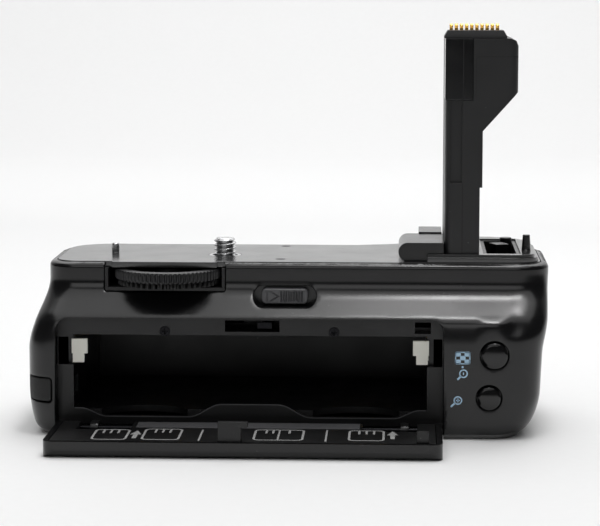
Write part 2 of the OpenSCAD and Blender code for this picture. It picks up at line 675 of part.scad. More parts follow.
module contact_carrier() {
  color([0.22, 0.22, 0.23])
  difference() {
    union() {
      along_y(tower_y0 + 1.2, tower_y0 + 9) polygon([[carrier_x0, tower_top],
        [carrier_x0 + 17.4, tower_top], [carrier_x0 + 17.4, tower_top + 0.5], [carrier_x0 + 16.4, carrier_z],
        [carrier_x0 + 1, carrier_z], [carrier_x0, tower_top + 0.5]]);
      box(tower_x + 0.8, tower_x + 14.9, tower_y0 + 2.9, tower_y0 + 7.1, tower_top - 5, tower_top + e);
    }
    for (i = [0:9]) box(contact_x(i) - 0.5, contact_x(i) + 0.5, tower_y0 + 3.4, tower_y0 + 6.6, 0, 200);
  }
}
function contact_x(i) = tower_x + 1.5 + i * 1.42;
module tower_contacts() {
  color([0.86, 0.68, 0.30])
  for (i = [0:9]) {
    box(contact_x(i) - 0.45, contact_x(i) + 0.45, tower_y0 + 3.4, tower_y0 + 6.6,
      tower_top - 4.8, carrier_z + 0.8);
    rod_x(tower_y0 + 5, carrier_z + 0.8, contact_x(i) - 0.45, contact_x(i) + 0.45, 1);
  }
}
module tower_base() {
  color([0.17, 0.17, 0.18])
  difference() {
    intersection() {
      union() {
        translate([0, 0, top_z]) linear_extrude(1.2) polygon(ring(body_height - 2, wall + 0.9, 0));
        translate([0, 0, top_z + 1.2]) linear_extrude(0.9) polygon(ring(body_height - 2, wall + 1.9, 0));
      }
      box(tower_x - 4.7, 200, -rear_top + wall + 0.35, 200, 0, 90);
    }
    box(0, tower_x - 0.1, filler_y0 - 0.1, 100, 0, 90);
    box(tray_x0, tray_x1, tray_y0, tray_y1, 0, 90);
    rod_z(tower_x + 4.6, 0, 30, 60, 2.4);
  }
  color([0.17, 0.17, 0.18]) translate([tower_x + 23.3, -3, tower_z - e]) cylinder(h = 4.4, r1 = 1.3, r2 = 1);
}
// Block in place of the camera's own battery door, with its round hinge end
filler_y0 = -13.5;
filler_r = 2.6;
filler_d = 23.5;
module door_filler() {
  color([0.09, 0.09, 0.10])
  union() {
    rod_y(tower_x - 10.2, top_z + filler_r, filler_y0, filler_y0 + filler_d, filler_r);
    box(tower_x - 10.2, tower_x - 0.2, filler_y0, filler_y0 + filler_d, top_z, top_z + 2 * filler_r);
    box(tower_x - 7, tower_x - 0.4, filler_y0 + filler_d - e, filler_y0 + 38,
      top_z, top_z + 2 * filler_r + 0.4);
  }
}
// Storage tray for the loose battery door of the camera
module holder_tray() {
  color([0.10, 0.10, 0.11])
  difference() {
    box(tray_x0, tray_x1, tray_y0, tray_y1, top_z - 5, top_z + 1.6);
    box(tray_x0 + 1.1, tray_x1 - 1.1, tray_y0 + 1.1, tray_y1 - 1.1, top_z - 4, top_z + 5);
  }
}
module holder_clips() {
  color([0.13, 0.13, 0.14])
  union() {
    translate([tray_x0 + 5.2, 10, top_z - 4]) rotate([0, 0, 20]) box(-2, 2, -2.6, 2.6, 0, 6.4);
    rod_z(tray_x0 + 7.4, 18, top_z - 4, top_z + 3.2, 1.7);
    box(tray_x0 + 2, tray_x1 - 2, 8, 19, top_z - 4, top_z - 3);
  }
}

// Front controls
rubber = 0.7;
module grip_rubber() {
  color([0.05, 0.05, 0.05])
  difference() {
    intersection() {
      loft(side_levels, -rubber, 0);
      along_y(14, 80) rrect(46, corner_x + 1.5, 6, 38, 6);
    }
    loft(concat([3.6], side_levels, [straight_z]), 0, 0);
  }
}
module shutter_cup() {
  color([0.14, 0.14, 0.15])
  on_shutter() difference() {
    translate([0, 0, 12.6]) cylinder(h = 5.9, r = cup_r - 0.02);
    translate([0, 0, 14]) cylinder(h = 10, r = shutter_size / 2 + 0.3);
  }
}
module shutter_button() {
  color([0.06, 0.06, 0.07])
  on_shutter() difference() {
    translate([0, 0, 15.6]) cylinder(h = 3.5, r = shutter_size / 2);
    translate([0, 0, 19.1 + 15.5]) sphere(r = 16, $fn = 96);
  }
}
module control_dial() {
  color([0.08, 0.08, 0.08])
  translate([dial_x, dial_y, shutter_z - 3]) difference() {
    union() {
      cylinder(h = 6, r = dial_radius - 0.5);
      linear_extrude(6) for (i = [0:29]) rotate(12 * i) translate([dial_radius - 1, -0.35]) square([1, 0.7]);
    }
    translate([0, 0, -1]) cylinder(h = 8, r = 1.25);
  }
}
module dial_bracket() {
  color([0.55, 0.55, 0.57])
  translate([dial_x, dial_y, shutter_z]) {
    rod_z(0, 0, -4.4, 4.4, 1.2);
    for (s = [-1, 1]) translate([0, 0, s * 4 - 0.5]) rotate(dial_a) {
      cylinder(h = 1, r = 2.6);
      box(0, dial_radius - 3.75, -2.6, 2.6, 0, 1);
    }
  }
}
module power_switch() {
  color([0.3, 0.3, 0.32])
  union() {
    box(switch_x - wall - 5, switch_x - wall - 1.1, switch_y - 6, switch_y + 6, switch_z - 3, switch_z + 3);
    for (y = [switch_y - 6, switch_y + 4.6]) box(switch_x - wall - 1.2, switch_x - wall - 0.25, y, y + 1.4,
      switch_z - 3, switch_z + 3);
  }
}
module power_knob() {
  color([0.07, 0.07, 0.08])
  difference() {
    box(switch_x - wall - 0.8, switch_x - 0.5, switch_y - 3.8, switch_y - 0.4,
      switch_z - 1.5, switch_z + 1.5);
    for (i = [0:2]) box(switch_x - 0.9, switch_x, switch_y - 3.1 + i, switch_y - 2.7 + i, 0, 40);
  }
}

// Door lock
module lock_guide() {
  color([0.2, 0.2, 0.21])
  difference() {
    box(lock_x - 12, lock_x + 12, -rear_top + 3.9, -rear_top + 6.4, roof_top, lock_z + 4.5);
    box(lock_x - 13, lock_x + 13, -rear_top + 3.8, -rear_top + 5.5, roof_top - 1, lock_z + 2.9);
  }
}
bolt_y = bay_y0 + 0.5;
module lock_knob() {
  color([0.07, 0.07, 0.08])
  union() {
    along_y(-rear_top - 2.4, -rear_top + 0.9)
      rrect(lock_x - knob_w / 2, lock_x + knob_w / 2, lock_z - 2.1, lock_z + 2.1, 1.5);
    box(lock_x - stem_w / 2, lock_x + stem_w / 2, -rear_top + 0.9 - e, -rear_top + 4.2,
      lock_z - 0.6, lock_z + 0.6);
  }
}
module latch_bolt() {
  color([0.68, 0.68, 0.70])
  union() {
    box(lock_x - 7, lock_x + 7, -rear_top + 4.2, -rear_top + 5.2, roof_top + 0.5, lock_z + 2.6);
    box(bolt_x - 2.2, bolt_x, bolt_y, -rear_top + 4.2 + e, latch_z, latch_z + 1.9);
    box(claw_x + 0.4, bolt_x, bolt_y, bolt_y + 1, latch_z, latch_z + 1.9);
    box(bolt_x - 2.2, bolt_x, -rear_top + 4.2, -rear_top + 5.2, latch_z, roof_top + 0.5 + e);
  }
}

// Door, drawn closed and then swung open
hinge_z = 2;
hinge_y = -rear_depth + hinge_z + 0.15;
ear_spots = [bay_x0 + 6.1, bay_x1 - 6.1];
door_x0 = open_x0 + door_gap;
door_x1 = open_x1 - door_gap;
door_z1 = open_z - door_gap;
door_in = front_y - door_gap;
pocket_w = 15;
land_x0 = bay_x0 + 18.6;
land_x1 = bay_x1 - 18.1;
hook_x0 = 2.2;
hook_x1 = 8.4;
module swing_open() {
  translate([0, hinge_y, hinge_z]) rotate([90, 0, 0]) translate([0, -hinge_y, -hinge_z]) children();
}
// Drawing in Y and Z carried along X
module along_x(x0, x1) {
  translate([x0, 0, 0]) rotate([90, 0, 90]) linear_extrude(x1 - x0) children();
}
module door_pockets(z0) {
  for (x = ear_spots) box(x - 1.4, x + 1.4, -100, hinge_y + 30, -10, hinge_z + 3.2);
  for (x = [bay_x0 + 10.1, bay_x1 - 10.1]) box(x - pocket_w / 2, x + pocket_w / 2,
    -rear_depth + 1.3, 0, z0, 15);
}
module door_panel() {
  color([0.09, 0.09, 0.10])
  swing_open() difference() {
    intersection() {
      along_y(-100, 100) rrect(door_x0, door_x1, -20, door_z1, open_r - door_gap);
      along_x(door_x0, door_x1) polygon([[door_in, 0.9], [door_in, door_z1], [-rear_depth + 2.2, door_z1],
        [-rear_depth + 0.7, door_z1 - 0.7], [-rear_depth, door_z1 - 2.4], [-rear_depth, 1.4],
        [-rear_depth + 0.5, 0.5], [hinge_y, 0.4], [hinge_y + 1.1, 0.5]]);
    }
    box(door_x0 + 1.6, door_x1 - 1.6, -rear_depth + 1.6, 0, hinge_z + 1.7, door_z1 - 1.6);
    box(-100, 100, hinge_y - 1.75, 0, -10, hinge_z + 1.75);
    door_pockets(-1);
  }
}
module door_liner() {
  color([0.06, 0.06, 0.07])
  swing_open() difference() {
    union() {
      box(door_x0 + 1.8, door_x1 - 1.8, door_in - 1.2, door_in, hinge_z + 2.6, door_z1 - 1.8);
      for (x = [-32, -8, 24, 48]) box(x, x + 1.2, -rear_depth + 1.6, door_in - 1.2 + e, 16, door_z1 - 2);
      difference() {
        union() {
          rod_x(hinge_y, hinge_z, land_x0, land_x1, 1.5);
          box(land_x0, land_x1, -rear_depth + 1.75, hinge_y + 1.3,
            hinge_z, hinge_z + 2.6 + e);
          box(land_x0, land_x1, hinge_y - 0.4, door_in, hinge_z + 1.9, hinge_z + 2.6 + e);
          for (s = [-1, 1]) translate([bay_middle + s * (bay_width / 2 + 0.1), 0, 0]) {
            rod_x(hinge_y, hinge_z, -2.1, 2.1, 1.5);
            box(-2.1, 2.1, -rear_depth + 1.75, hinge_y + 1.3, hinge_z, hinge_z + 2.6 + e);
            box(-2.1, 2.1, hinge_y - 0.4, door_in, hinge_z + 1.9, hinge_z + 2.6 + e);
          }
        }
        rod_x(hinge_y, hinge_z, -200, 200, hinge_pin / 2 + 0.02);
      }
    }
    door_pockets(hinge_z + 2);
    box(hook_x0 - 0.1, hook_x1 + 0.1, door_in - 1.3, 0, latch_z - 2.3, latch_z + 0.5);
  }
}
module hinge_pins() {
  color([0.74, 0.74, 0.76])
  swing_open() for (s = [-1, 1]) rod_x(hinge_y, hinge_z, s < 0 ? bay_x0 - 1.9 : bay_x1 - 22.6,
    s < 0 ? bay_x0 + 23.1 : bay_x1 + 2.4, hinge_pin / 2);
}
hook_end = bay_y0 + 3.4;
module door_hook() {
  color([0.08, 0.08, 0.09])
  swing_open() union() {
    box(hook_x0, hook_x1, -rear_depth + 1.7, door_in + 0.1, latch_z - 2.2, latch_z + 0.4);
    box(hook_x0, hook_x1, door_in, hook_end, latch_z - 0.3, latch_z + 1.4);
    box(hook_x1 - e, claw_x, bolt_y + 1.3, hook_end, latch_z - 0.3, latch_z + 1.4);
    box(bay_x1 - 2.9, bay_x1 + 0.4, door_in, bay_y0 + 1.2, latch_z - 0.3, latch_z + 0.9);
  }
}

// White battery locks at the two upper corners of the bay
module lever(s) {
  translate([bay_middle + s * bay_width / 2, 0, 0]) scale([s, 1, 1]) {
    box(-3.9, lever_out, front_y + 0.15, bay_y0 - 0.2, lever_z0 + 2.5, lever_z1);
    box(-3, 0.2, front_y + 0.15, bay_y0 - 0.2, lever_z0, lever_z0 + 2.5 + e);
    box(-1.2, 0.4, bay_y0 - 0.2 - e, bay_y0 + 1.2, lever_z0 + 1, lever_z1 - 0.4);
  }
}
module left_lever() {
  color([0.88, 0.87, 0.82]) lever(-1);
}
module right_lever() {
  color([0.88, 0.87, 0.82]) lever(1);
}

// Rubber cover of the cord passage at the rear left corner
module cord_cover() {
  color([0.06, 0.06, 0.06])
  difference() {
    intersection() {
      loft([6, 9, 12, 14, 16.5, 20], 0, 0);
      box(-100, cord_x - 0.3, -rear_depth - 5, cord_y - 0.3, cord_z0 + 0.3, cord_z1 - 0.3);
    }
    loft([5, 9, 12, 14, 16.5, 21], wall, 0);
  }
}

rear_cover();
front_cover();
top_plate();
base_plate();
battery_bay();
bay_frame();
bay_contacts();
bay_guides();
frame_screws();
base_screws();
tripod_socket();
wheel_housing();
wheel_axle();
screw_bush();
locating_pin();
circuit_board();
board_parts();
button_board();
button_switches();
tower_base();
tower_rear_shell();
tower_front_shell();
tower_insert();
contact_carrier();
tower_contacts();
door_filler();
holder_tray();
holder_clips();
grip_rubber();
shutter_cup();
dial_bracket();
power_switch();
lock_guide();
base_pads();
door_panel();
door_liner();
door_hook();
hinge_pins();
lock_knob();
latch_bolt();
attachment_wheel();
drive_gear();
tripod_screw();
screw_gear();
upper_button();
lower_button();
shutter_button();
control_dial();
power_knob();
left_lever();
right_lever();
cord_cover();
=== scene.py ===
"""Looks of a camera battery grip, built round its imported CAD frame.

Sizes are in millimetres until a mesh is made, in the frame of the part: +X to the right seen from
behind, +Y towards the lens, +Z up, with the axis of the camera screw at X 0, Y 0.
"""

import json
import math

import bmesh
import bpy
import numpy as np
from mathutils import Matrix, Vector
from mathutils.geometry import delaunay_2d_cdt

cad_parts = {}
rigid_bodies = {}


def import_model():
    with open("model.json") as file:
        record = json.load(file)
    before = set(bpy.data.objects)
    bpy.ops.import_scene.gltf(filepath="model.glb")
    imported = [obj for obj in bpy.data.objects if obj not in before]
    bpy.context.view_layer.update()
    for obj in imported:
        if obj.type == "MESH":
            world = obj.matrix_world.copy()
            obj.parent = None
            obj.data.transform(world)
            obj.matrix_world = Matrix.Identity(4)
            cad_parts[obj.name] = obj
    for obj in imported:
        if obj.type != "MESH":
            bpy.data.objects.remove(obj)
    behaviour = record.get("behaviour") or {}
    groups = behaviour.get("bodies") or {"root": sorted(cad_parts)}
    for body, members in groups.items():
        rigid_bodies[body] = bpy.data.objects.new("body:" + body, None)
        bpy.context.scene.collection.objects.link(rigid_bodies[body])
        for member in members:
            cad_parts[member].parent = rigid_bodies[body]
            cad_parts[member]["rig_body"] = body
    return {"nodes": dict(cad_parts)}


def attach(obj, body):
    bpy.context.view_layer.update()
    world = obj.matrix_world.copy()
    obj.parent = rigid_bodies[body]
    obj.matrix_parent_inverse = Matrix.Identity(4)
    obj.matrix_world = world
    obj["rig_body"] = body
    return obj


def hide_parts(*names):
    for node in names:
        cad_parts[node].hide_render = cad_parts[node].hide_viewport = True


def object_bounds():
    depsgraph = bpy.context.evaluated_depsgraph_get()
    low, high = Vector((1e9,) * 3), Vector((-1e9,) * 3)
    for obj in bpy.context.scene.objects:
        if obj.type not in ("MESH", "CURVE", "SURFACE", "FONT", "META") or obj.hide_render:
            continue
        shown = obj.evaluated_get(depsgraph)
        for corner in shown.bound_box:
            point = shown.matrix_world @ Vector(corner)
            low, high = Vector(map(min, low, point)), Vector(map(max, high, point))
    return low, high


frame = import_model()
cad_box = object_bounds()
MM = 0.001

# Sizes shared with the CAD source
BODY_LEFT, BODY_RIGHT, BODY_HEIGHT = 53.4, 91.6, 47.2
REAR_DEPTH, FRONT_DEPTH = 29.0, 35.0
REAR_STEP, FRONT_STEP, LEFT_FLARE = 10.3, 8.3, 4.6
WALL, SKIRT, SPLIT_Y, RIM = 2.0, 1.2, 10.0, 1.6
STRAIGHT_Z, SLOPE_Z0, SLOPE_Z1 = 44.7, 32.7, 39.8
REAR_TOP = REAR_DEPTH - REAR_STEP
TOP_Z = BODY_HEIGHT + 0.2
OPEN_X0, OPEN_X1, OPEN_Z, OPEN_R = -44.9, 62.1, 32.8, 3.5
FRAME_Y = -24.2
LOCK_X, LOCK_Z = 18.2, 38.3
UPPER_BUTTON, LOWER_BUTTON = (76.1125, 23.4, 3.6), (74.7125, 11.6, 3.2)
CORD_X, CORD_Y, CORD_Z, CORD_WIDE = -45.9, -22.3, 12.8, 10.2
NOTCH_X0, NOTCH_X1, NOTCH_Z = -32.3, 1.5, 39.2
SHUTTER_Z, SHUTTER_ANGLE, DIAL_ANGLE = 25.8, 62.0, 8.0
REAR_CORNER, LEFT_CORNER, CORNER = 9.0, 14.0, 18.0
SCREW_R = 3.175
WHEEL_X, GEAR_SPAN, WHEEL_RIBS = -14.9, 19.5, 72
DIAL_REACH, DIAL_RIBS = 12.6, 30
BAY_X, DOOR_Z = 8.6, 4.25
TOWER_X, TOWER_Y, TOWER_TOP = 62.4, -13.3, 109.4

# Pitch of the camera screw's thread: twenty turns to the inch
SCREW_PITCH = 1.27
# Rear face, finer here than in the CAD source: radius of the boss about the upper button, least height of
# the flat above that button's centre, curve and depth of the lead-in
BOSS, FLAT_RISE, LEAD_CURVE, LEAD_DEPTH = 5.7, 2.4, 0.024, 1.14
# Soft curve at its right: height where it starts, place, slant and width of the blend into it, and how far
# the power of the corner's superellipse falls below that of a circle
SOFT_Z, SOFT_X, SOFT_SLANT, SOFT_WIDE, CORNER_FULL = 27.0, 77.6, 0.59, 7.0, 0.2


# Materials


def colour(text):
    """sRGB hex to linear red, green, blue and alpha."""
    c = np.array([int(text[i : i + 2], 16) for i in (1, 3, 5)]) / 255.0
    c = np.where(c <= 0.04045, c / 12.92, ((c + 0.055) / 1.055) ** 2.4)
    return (*c.tolist(), 1.0)


def add(mat, kind, sockets=None, **settings):
    """Adds a node: settings are its properties, sockets its inputs, each a value or a link."""
    node = mat.node_tree.nodes.new(kind)
    for key, value in settings.items():
        setattr(node, key, value)
    for key, value in (sockets or {}).items():
        if isinstance(value, bpy.types.NodeSocket):
            mat.node_tree.links.new(value, node.inputs[key])
        else:
            node.inputs[key].default_value = value
    return node


def new_material(name):
    """Empty node material with its output and its shader."""
    mat = bpy.data.materials.new(name)
    mat.use_nodes = True
    mat.node_tree.nodes.clear()
    shader = add(mat, "ShaderNodeBsdfPrincipled")
    add(mat, "ShaderNodeOutputMaterial", {"Surface": shader.outputs[0]})
    return mat, shader


def join(mat, source, shader, socket):
    """Links an output to a named socket of the shader."""
    mat.node_tree.links.new(source, shader.inputs[socket])


def per_mm(size):
    """Texture scale in Object coordinates, which are metres, for features of that many millimetres."""
    return 1000.0 / size


def noise(mat, vector, scale, detail, rough=0.5):
    """Value of a noise texture over those coordinates."""
    sockets = {"Vector": vector, "Scale": scale, "Detail": detail, "Roughness": rough}
    return add(mat, "ShaderNodeTexNoise", sockets).outputs[0]


def blend(mat, share, first, second):
    """Colour between two colours, by a share that goes from 0 to 1."""
    return add(mat, "ShaderNodeMix", {0: share, 6: first, 7: second}, data_type="RGBA").outputs[2]


def surface(mat, shader, base, wear, rough, spread, relief, depth):
    """Feeds the shader: base colour, roughness that swings by spread with wear, and relief depth mm high."""
    join(mat, base, shader, "Base Color")
    gloss = add(mat, "ShaderNodeMapRange", {0: wear, 1: 0.3, 2: 0.7, 3: rough - spread, 4: rough + spread})
    join(mat, gloss.outputs[0], shader, "Roughness")
    bump = add(mat, "ShaderNodeBump", {"Height": relief, "Strength": 1.0, "Distance": depth * MM})
    join(mat, bump.outputs[0], shader, "Normal")


def moulded(name, dark, light, rough, spread, grain, depth, smudge=9.0, specks=0.0, ior=1.5):
    """Moulded plastic, paint or rubber. Grain is the size in mm of the moulded texture and depth its
    height in mm; smudges of a larger size vary colour and roughness as handling does; specks are dust."""
    mat, shader = new_material(name)
    place = add(mat, "ShaderNodeTexCoord").outputs["Object"]
    fine = noise(mat, place, per_mm(grain), 2.0, 0.55)
    broad = noise(mat, place, per_mm(smudge), 4.0, 0.6)
    base = blend(mat, broad, colour(dark), colour(light))
    if specks:
        dust = add(mat, "ShaderNodeTexVoronoi", {"Vector": place, "Scale": per_mm(4.2), "Randomness": 1.0})
        near = dust.outputs["Distance"]
        seen = add(mat, "ShaderNodeMapRange", {0: near, 1: 0.035, 2: 0.02, 3: 0.0, 4: specks})
        base = blend(mat, seen.outputs[0], base, colour("#8f8f8d"))
    surface(mat, shader, base, broad, rough, spread, fine, depth)
    shader.inputs["IOR"].default_value = ior
    return mat


def metal(name, dark, light, rough, spread, along, depth):
    """Bare or plated metal with fine turning or brushing marks: noise stretched by the scales along."""
    mat, shader = new_material(name)
    place = add(mat, "ShaderNodeTexCoord").outputs["Object"]
    stretched = add(mat, "ShaderNodeMapping", {"Vector": place, "Scale": along}).outputs[0]
    marks = noise(mat, stretched, 1.0, 3.0, 0.6)
    base = blend(mat, noise(mat, place, per_mm(2.5), 3.0), colour(dark), colour(light))
    surface(mat, shader, base, marks, rough, spread, marks, depth)
    shader.inputs["Metallic"].default_value = 1.0
    return mat


# Satin black paint over moulded ABS: soft broad reflections, a fine grain just drawn coarse enough to show
SATIN = moulded("satin_painted_abs", "#0a0a0b", "#0e0e0f", 0.23, 0.03, 0.45, 0.004,
                smudge=14.0, specks=0.25)
# Bare black ABS as moulded: duller, with the mould's spark texture
MATT = moulded("spark_textured_abs", "#0b0b0c", "#101011", 0.36, 0.06, 0.5, 0.008, smudge=11.0, specks=0.5)
# The same ABS made pale to paint light: a painted highlight along the lip of the bay and painted light on the
# flat beside the hinge
PAINTED_HIGHLIGHT = moulded("abs_painted_highlight", "#48484a", "#5a5a5c", 0.35, 0.05, 0.5, 0.004, smudge=6.0, specks=0.3)
# Polycarbonate of the tower: smooth satin with faint flow marks
TOWER = moulded("satin_polycarbonate", "#131314", "#1b1b1c", 0.40, 0.05, 0.5, 0.005, smudge=8.0, specks=0.35)
# Baked paint on sheet metal: a fine hammered film that greys at a low angle
PLATE = moulded("baked_paint_on_sheet", "#1b1b1c", "#252526", 0.18, 0.03, 0.6, 0.003,
                smudge=10.0, specks=0.5, ior=1.8)
# Polished polycarbonate panel: crisper reflections than the tower round it
GLOSS = moulded("polished_polycarbonate", "#101011", "#181819", 0.14, 0.05, 0.9, 0.001,
                smudge=6.0, specks=0.3)
# Soft-touch coating of the wheel, the dial, the power knob and the shutter cup: a dull, even sheen
CONTROL = moulded("soft_coated_abs", "#121213", "#1a1a1c", 0.32, 0.05, 0.4, 0.004, smudge=5.0, specks=0.2)
# Polished ABS of the buttons: each side of a dome mirrors another part of the studio
POLISHED = moulded("polished_abs", "#070708", "#0c0c0d", 0.13, 0.03, 0.6, 0.001, smudge=4.0, specks=0.2)
# Slider of the lock: worn smooth and greyer than its surroundings
SLIDER = moulded("worn_polycarbonate", "#464648", "#555557", 0.30, 0.06, 0.5, 0.003, smudge=3.0, specks=0.2)
# Black acetal of the gear under the wheel, and the dark of the tower's joints: almost no sheen
GEAR = moulded("black_acetal", "#030303", "#060606", 0.5, 0.05, 0.6, 0.004, smudge=4.0)
# Glass-filled PBT carrier: dull dark grey
CARRIER = moulded("glass_filled_pbt", "#2a2a2b", "#383839", 0.52, 0.06, 0.35, 0.010, smudge=3.0)
# Acetal battery locks: warm white, slightly waxy
ACETAL = moulded("white_acetal", "#efeee2", "#f8f7ee", 0.42, 0.06, 0.5, 0.006, smudge=3.0, ior=1.48)
# Pebbled elastomer of the pads and the cord cover: low sheen
RUBBER = moulded("pebbled_elastomer", "#0b0b0b", "#131313", 0.62, 0.05, 1.1, 0.09, smudge=12.0, specks=0.3)
# Solder resist over woven glass laminate: green with a slight gloss
RESIST = moulded("solder_resist_laminate", "#0b3a22", "#11502f", 0.38, 0.05, 0.8, 0.008, smudge=5.0)
# Moulded epoxy of the chips: dull black
EPOXY = moulded("moulded_epoxy", "#101011", "#18181a", 0.5, 0.06, 0.3, 0.008, smudge=4.0)
# Screen-printed inks: flat, a little broken at the edges by the grain below
BLUE_INK = moulded("screen_ink_pale_blue", "#a6cae4", "#b9d7ee", 0.5, 0.05, 0.5, 0.004, smudge=2.0)
GREY_INK = moulded("screen_ink_grey", "#8d8d8d", "#a6a6a5", 0.5, 0.05, 0.5, 0.004, smudge=2.0)
# Metals: bright plated steel with turning marks, dark oxide on small steel, warm gold flash, yellow brass
STEEL = metal("nickel_plated_steel", "#b9b9ba", "#d4d4d5", 0.24, 0.07, (400.0, 400.0, 9000.0), 0.004)
DARK = metal("black_oxide_steel", "#1c1c1e", "#2a2a2c", 0.36, 0.07, (3000.0, 3000.0, 3000.0), 0.004)
GOLD = metal("gold_flashed_bronze", "#d2a24a", "#e7be6a", 0.28, 0.08, (1500.0, 1500.0, 6000.0), 0.004)
BRASS = metal("cut_brass", "#b98f44", "#d0a95c", 0.32, 0.07, (4000.0, 4000.0, 900.0), 0.005)


# Outline of the body, by the formulas of the CAD source but for the finer rear face and its right corner


def ease(t):
    """Smooth step: three t squared less two t cubed, held at 0 and 1."""
    u = np.clip(t, 0.0, 1.0)
    return u * u * (3.0 - 2.0 * u)


def ramp(t, v, w):
    """Straight rise from 0 to 1 with its two bends rounded by parabolas of half-widths v and w."""
    bends = [0.0 * t, (t + v) ** 2 / (4.0 * v), t, 1.0 - (1.0 + w - t) ** 2 / (4.0 * w)]
    return np.select([t < -v, t < v, t < 1.0 - w, t < 1.0 + w], bends, 1.0)


def round_in(z, high, deep):
    """Quarter ellipse: nothing above the height high, growing to deep at the edge."""
    d = np.clip((high - z) / high, 0.0, 1.0)
    return deep * (1.0 - np.sqrt(1.0 - d * d))


def left_x(z):
    """Left end: a smooth flare, a parabola towards the ground and a rounded lower edge."""
    flare = LEFT_FLARE * ease((z - 23.2) / (BODY_HEIGHT - 28.2))
    return -BODY_LEFT + flare + 0.0135 * np.maximum(0.0, 13.0 - z) ** 2 + round_in(z, 3.0, 2.0)


def right_x(z):
    """Right end: a straight draft, a smooth step and a rounded lower edge."""
    draft = 2.0 * np.clip(1.0 - z / STRAIGHT_Z, 0.0, 1.0) + 1.1 * ease((33.0 - z) / 10.0)
    return BODY_RIGHT - draft - round_in(z, 13.0, 7.5)


def rear_y(x, z):
    """Rear face: flat up to a line that arches over the upper button as a circle, a parabola that leads in
    to the slope over the door, the slope, and at the right a slanting blend into one softer curve."""
    rise = (z - SLOPE_Z0) / (SLOPE_Z1 - SLOPE_Z0)
    flat = UPPER_BUTTON[1] + np.sqrt(np.maximum(BOSS**2 - (x - UPPER_BUTTON[0]) ** 2, FLAT_RISE**2))
    lead = LEAD_CURVE * np.clip(z - flat, 0.0, SLOPE_Z0 - flat) ** 2
    lead = lead + (LEAD_DEPTH - lead) * ease((z - SLOPE_Z0 + 1.2) / 2.6)
    shelf = lead + (REAR_STEP - lead) * ramp(rise, 0.16, 0.36)
    soft = REAR_STEP * ease((z - SOFT_Z) / (STRAIGHT_Z - SOFT_Z))
    corner = ease((x - SOFT_X - SOFT_SLANT * np.maximum(z - 33.0, -2.0)) / SOFT_WIDE)
    return -REAR_DEPTH + shelf + (soft - shelf) * corner + round_in(z, 4.0, 3.0)


def front_y(x, z):
    """Front face: the waist under the camera, blended into the fuller hand grip at the right."""
    waist = FRONT_DEPTH - FRONT_STEP * ease((z - 31.7) / (STRAIGHT_Z - 31.7))
    grip = FRONT_DEPTH - 1.5 * ease((z - 10.0) / (STRAIGHT_Z - 10.0))
    return waist + (grip - waist) * ease((x - 38.0) / 20.0) - round_in(z, 5.0, 4.0)


def inset(z, t):
    """Depth t plus the rounding of the top rim, which fades towards the inner wall."""
    return t + round_in(BODY_HEIGHT - z, RIM, RIM) * np.clip(1.0 - t / WALL, 0.0, 1.0)


# Lengths of the unrolled covers: side, corner, face, corner, side
REAR_S, REAR_U = np.arange(-1.0, 5.0), np.cumsum([0.0, 30.0, 14.1, 126.0, 14.1, 30.0])
FRONT_S, FRONT_U = np.arange(0.0, 6.0), np.cumsum([0.0, 7.0, 28.3, 112.0, 22.0, 11.0])


def rear_at(uv, t):
    """Points of the rear cover at depth t below the unrolled places uv: the left side from the split, a
    quarter circle of 9 mm, the rear face, a quarter of a superellipse, which is a circle at the top and
    the foot and fuller between them, and the right side to the split."""
    s, z = np.interp(uv[:, 0], REAR_U, REAR_S), uv[:, 1]
    k = inset(z, t)
    c = REAR_CORNER - t
    left, right = left_x(z) + k, right_x(z) - k
    xa, xb = left + c, right - c
    ya, yb = rear_y(xa, z) + k + c, rear_y(xb, z) + k + c
    turn = np.radians(90.0 * np.where(s < 1.5, 2.0 + np.clip(s, 0.0, 1.0), 1.0 + np.clip(s, 2.0, 3.0)))
    power = 1.0 - CORNER_FULL * ease((z - 6.0) / 6.0) * (1.0 - ease((z - 40.0) / 5.0))
    bulge_x, bulge_y = c * np.abs(np.cos(turn)) ** power, -c * np.abs(np.sin(turn)) ** power
    middle = xa + (xb - xa) * np.clip(s - 1.0, 0.0, 1.0)
    spans = [s < 0.0, s < 1.0, s < 2.0, s < 3.0]
    x = np.select(spans, [left, xa + c * np.cos(turn), middle, xb + bulge_x], right)
    sides = [ya + (SPLIT_Y - ya) * -s, ya + c * np.sin(turn), rear_y(middle, z) + k, yb + bulge_y]
    y = np.select(spans, sides, yb + (SPLIT_Y - yb) * (s - 3.0))
    return np.stack([x, y, z], axis=1)


def front_at(uv, t):
    """The same for the front cover, from the split at the right round to the split at the left; its
    corners are quarter circles of 18 and 14 mm."""
    s, z = np.interp(uv[:, 0], FRONT_U, FRONT_S), uv[:, 1]
    k = inset(z, t)
    c, d = CORNER - t, LEFT_CORNER - t
    left, right = left_x(z) + k, right_x(z) - k
    xc, xd = right - c, left + d
    yc, yd = front_y(xc, z) - k - c, front_y(xd, z) - k - d
    turn = np.radians(90.0 * np.where(s < 2.5, np.clip(s - 1.0, 0.0, 1.0), np.clip(s - 2.0, 1.0, 2.0)))
    middle = xc + (xd - xc) * np.clip(s - 2.0, 0.0, 1.0)
    spans = [s < 1.0, s < 2.0, s < 3.0, s < 4.0]
    x = np.select(spans, [right, xc + c * np.cos(turn), middle, xd + d * np.cos(turn)], left)
    sides = [SPLIT_Y + (yc - SPLIT_Y) * s, yc + c * np.sin(turn), front_y(middle, z) - k,
             yd + d * np.sin(turn)]
    y = np.select(spans, sides, yd + (SPLIT_Y - yd) * (s - 4.0))
    return np.stack([x, y, z], axis=1)


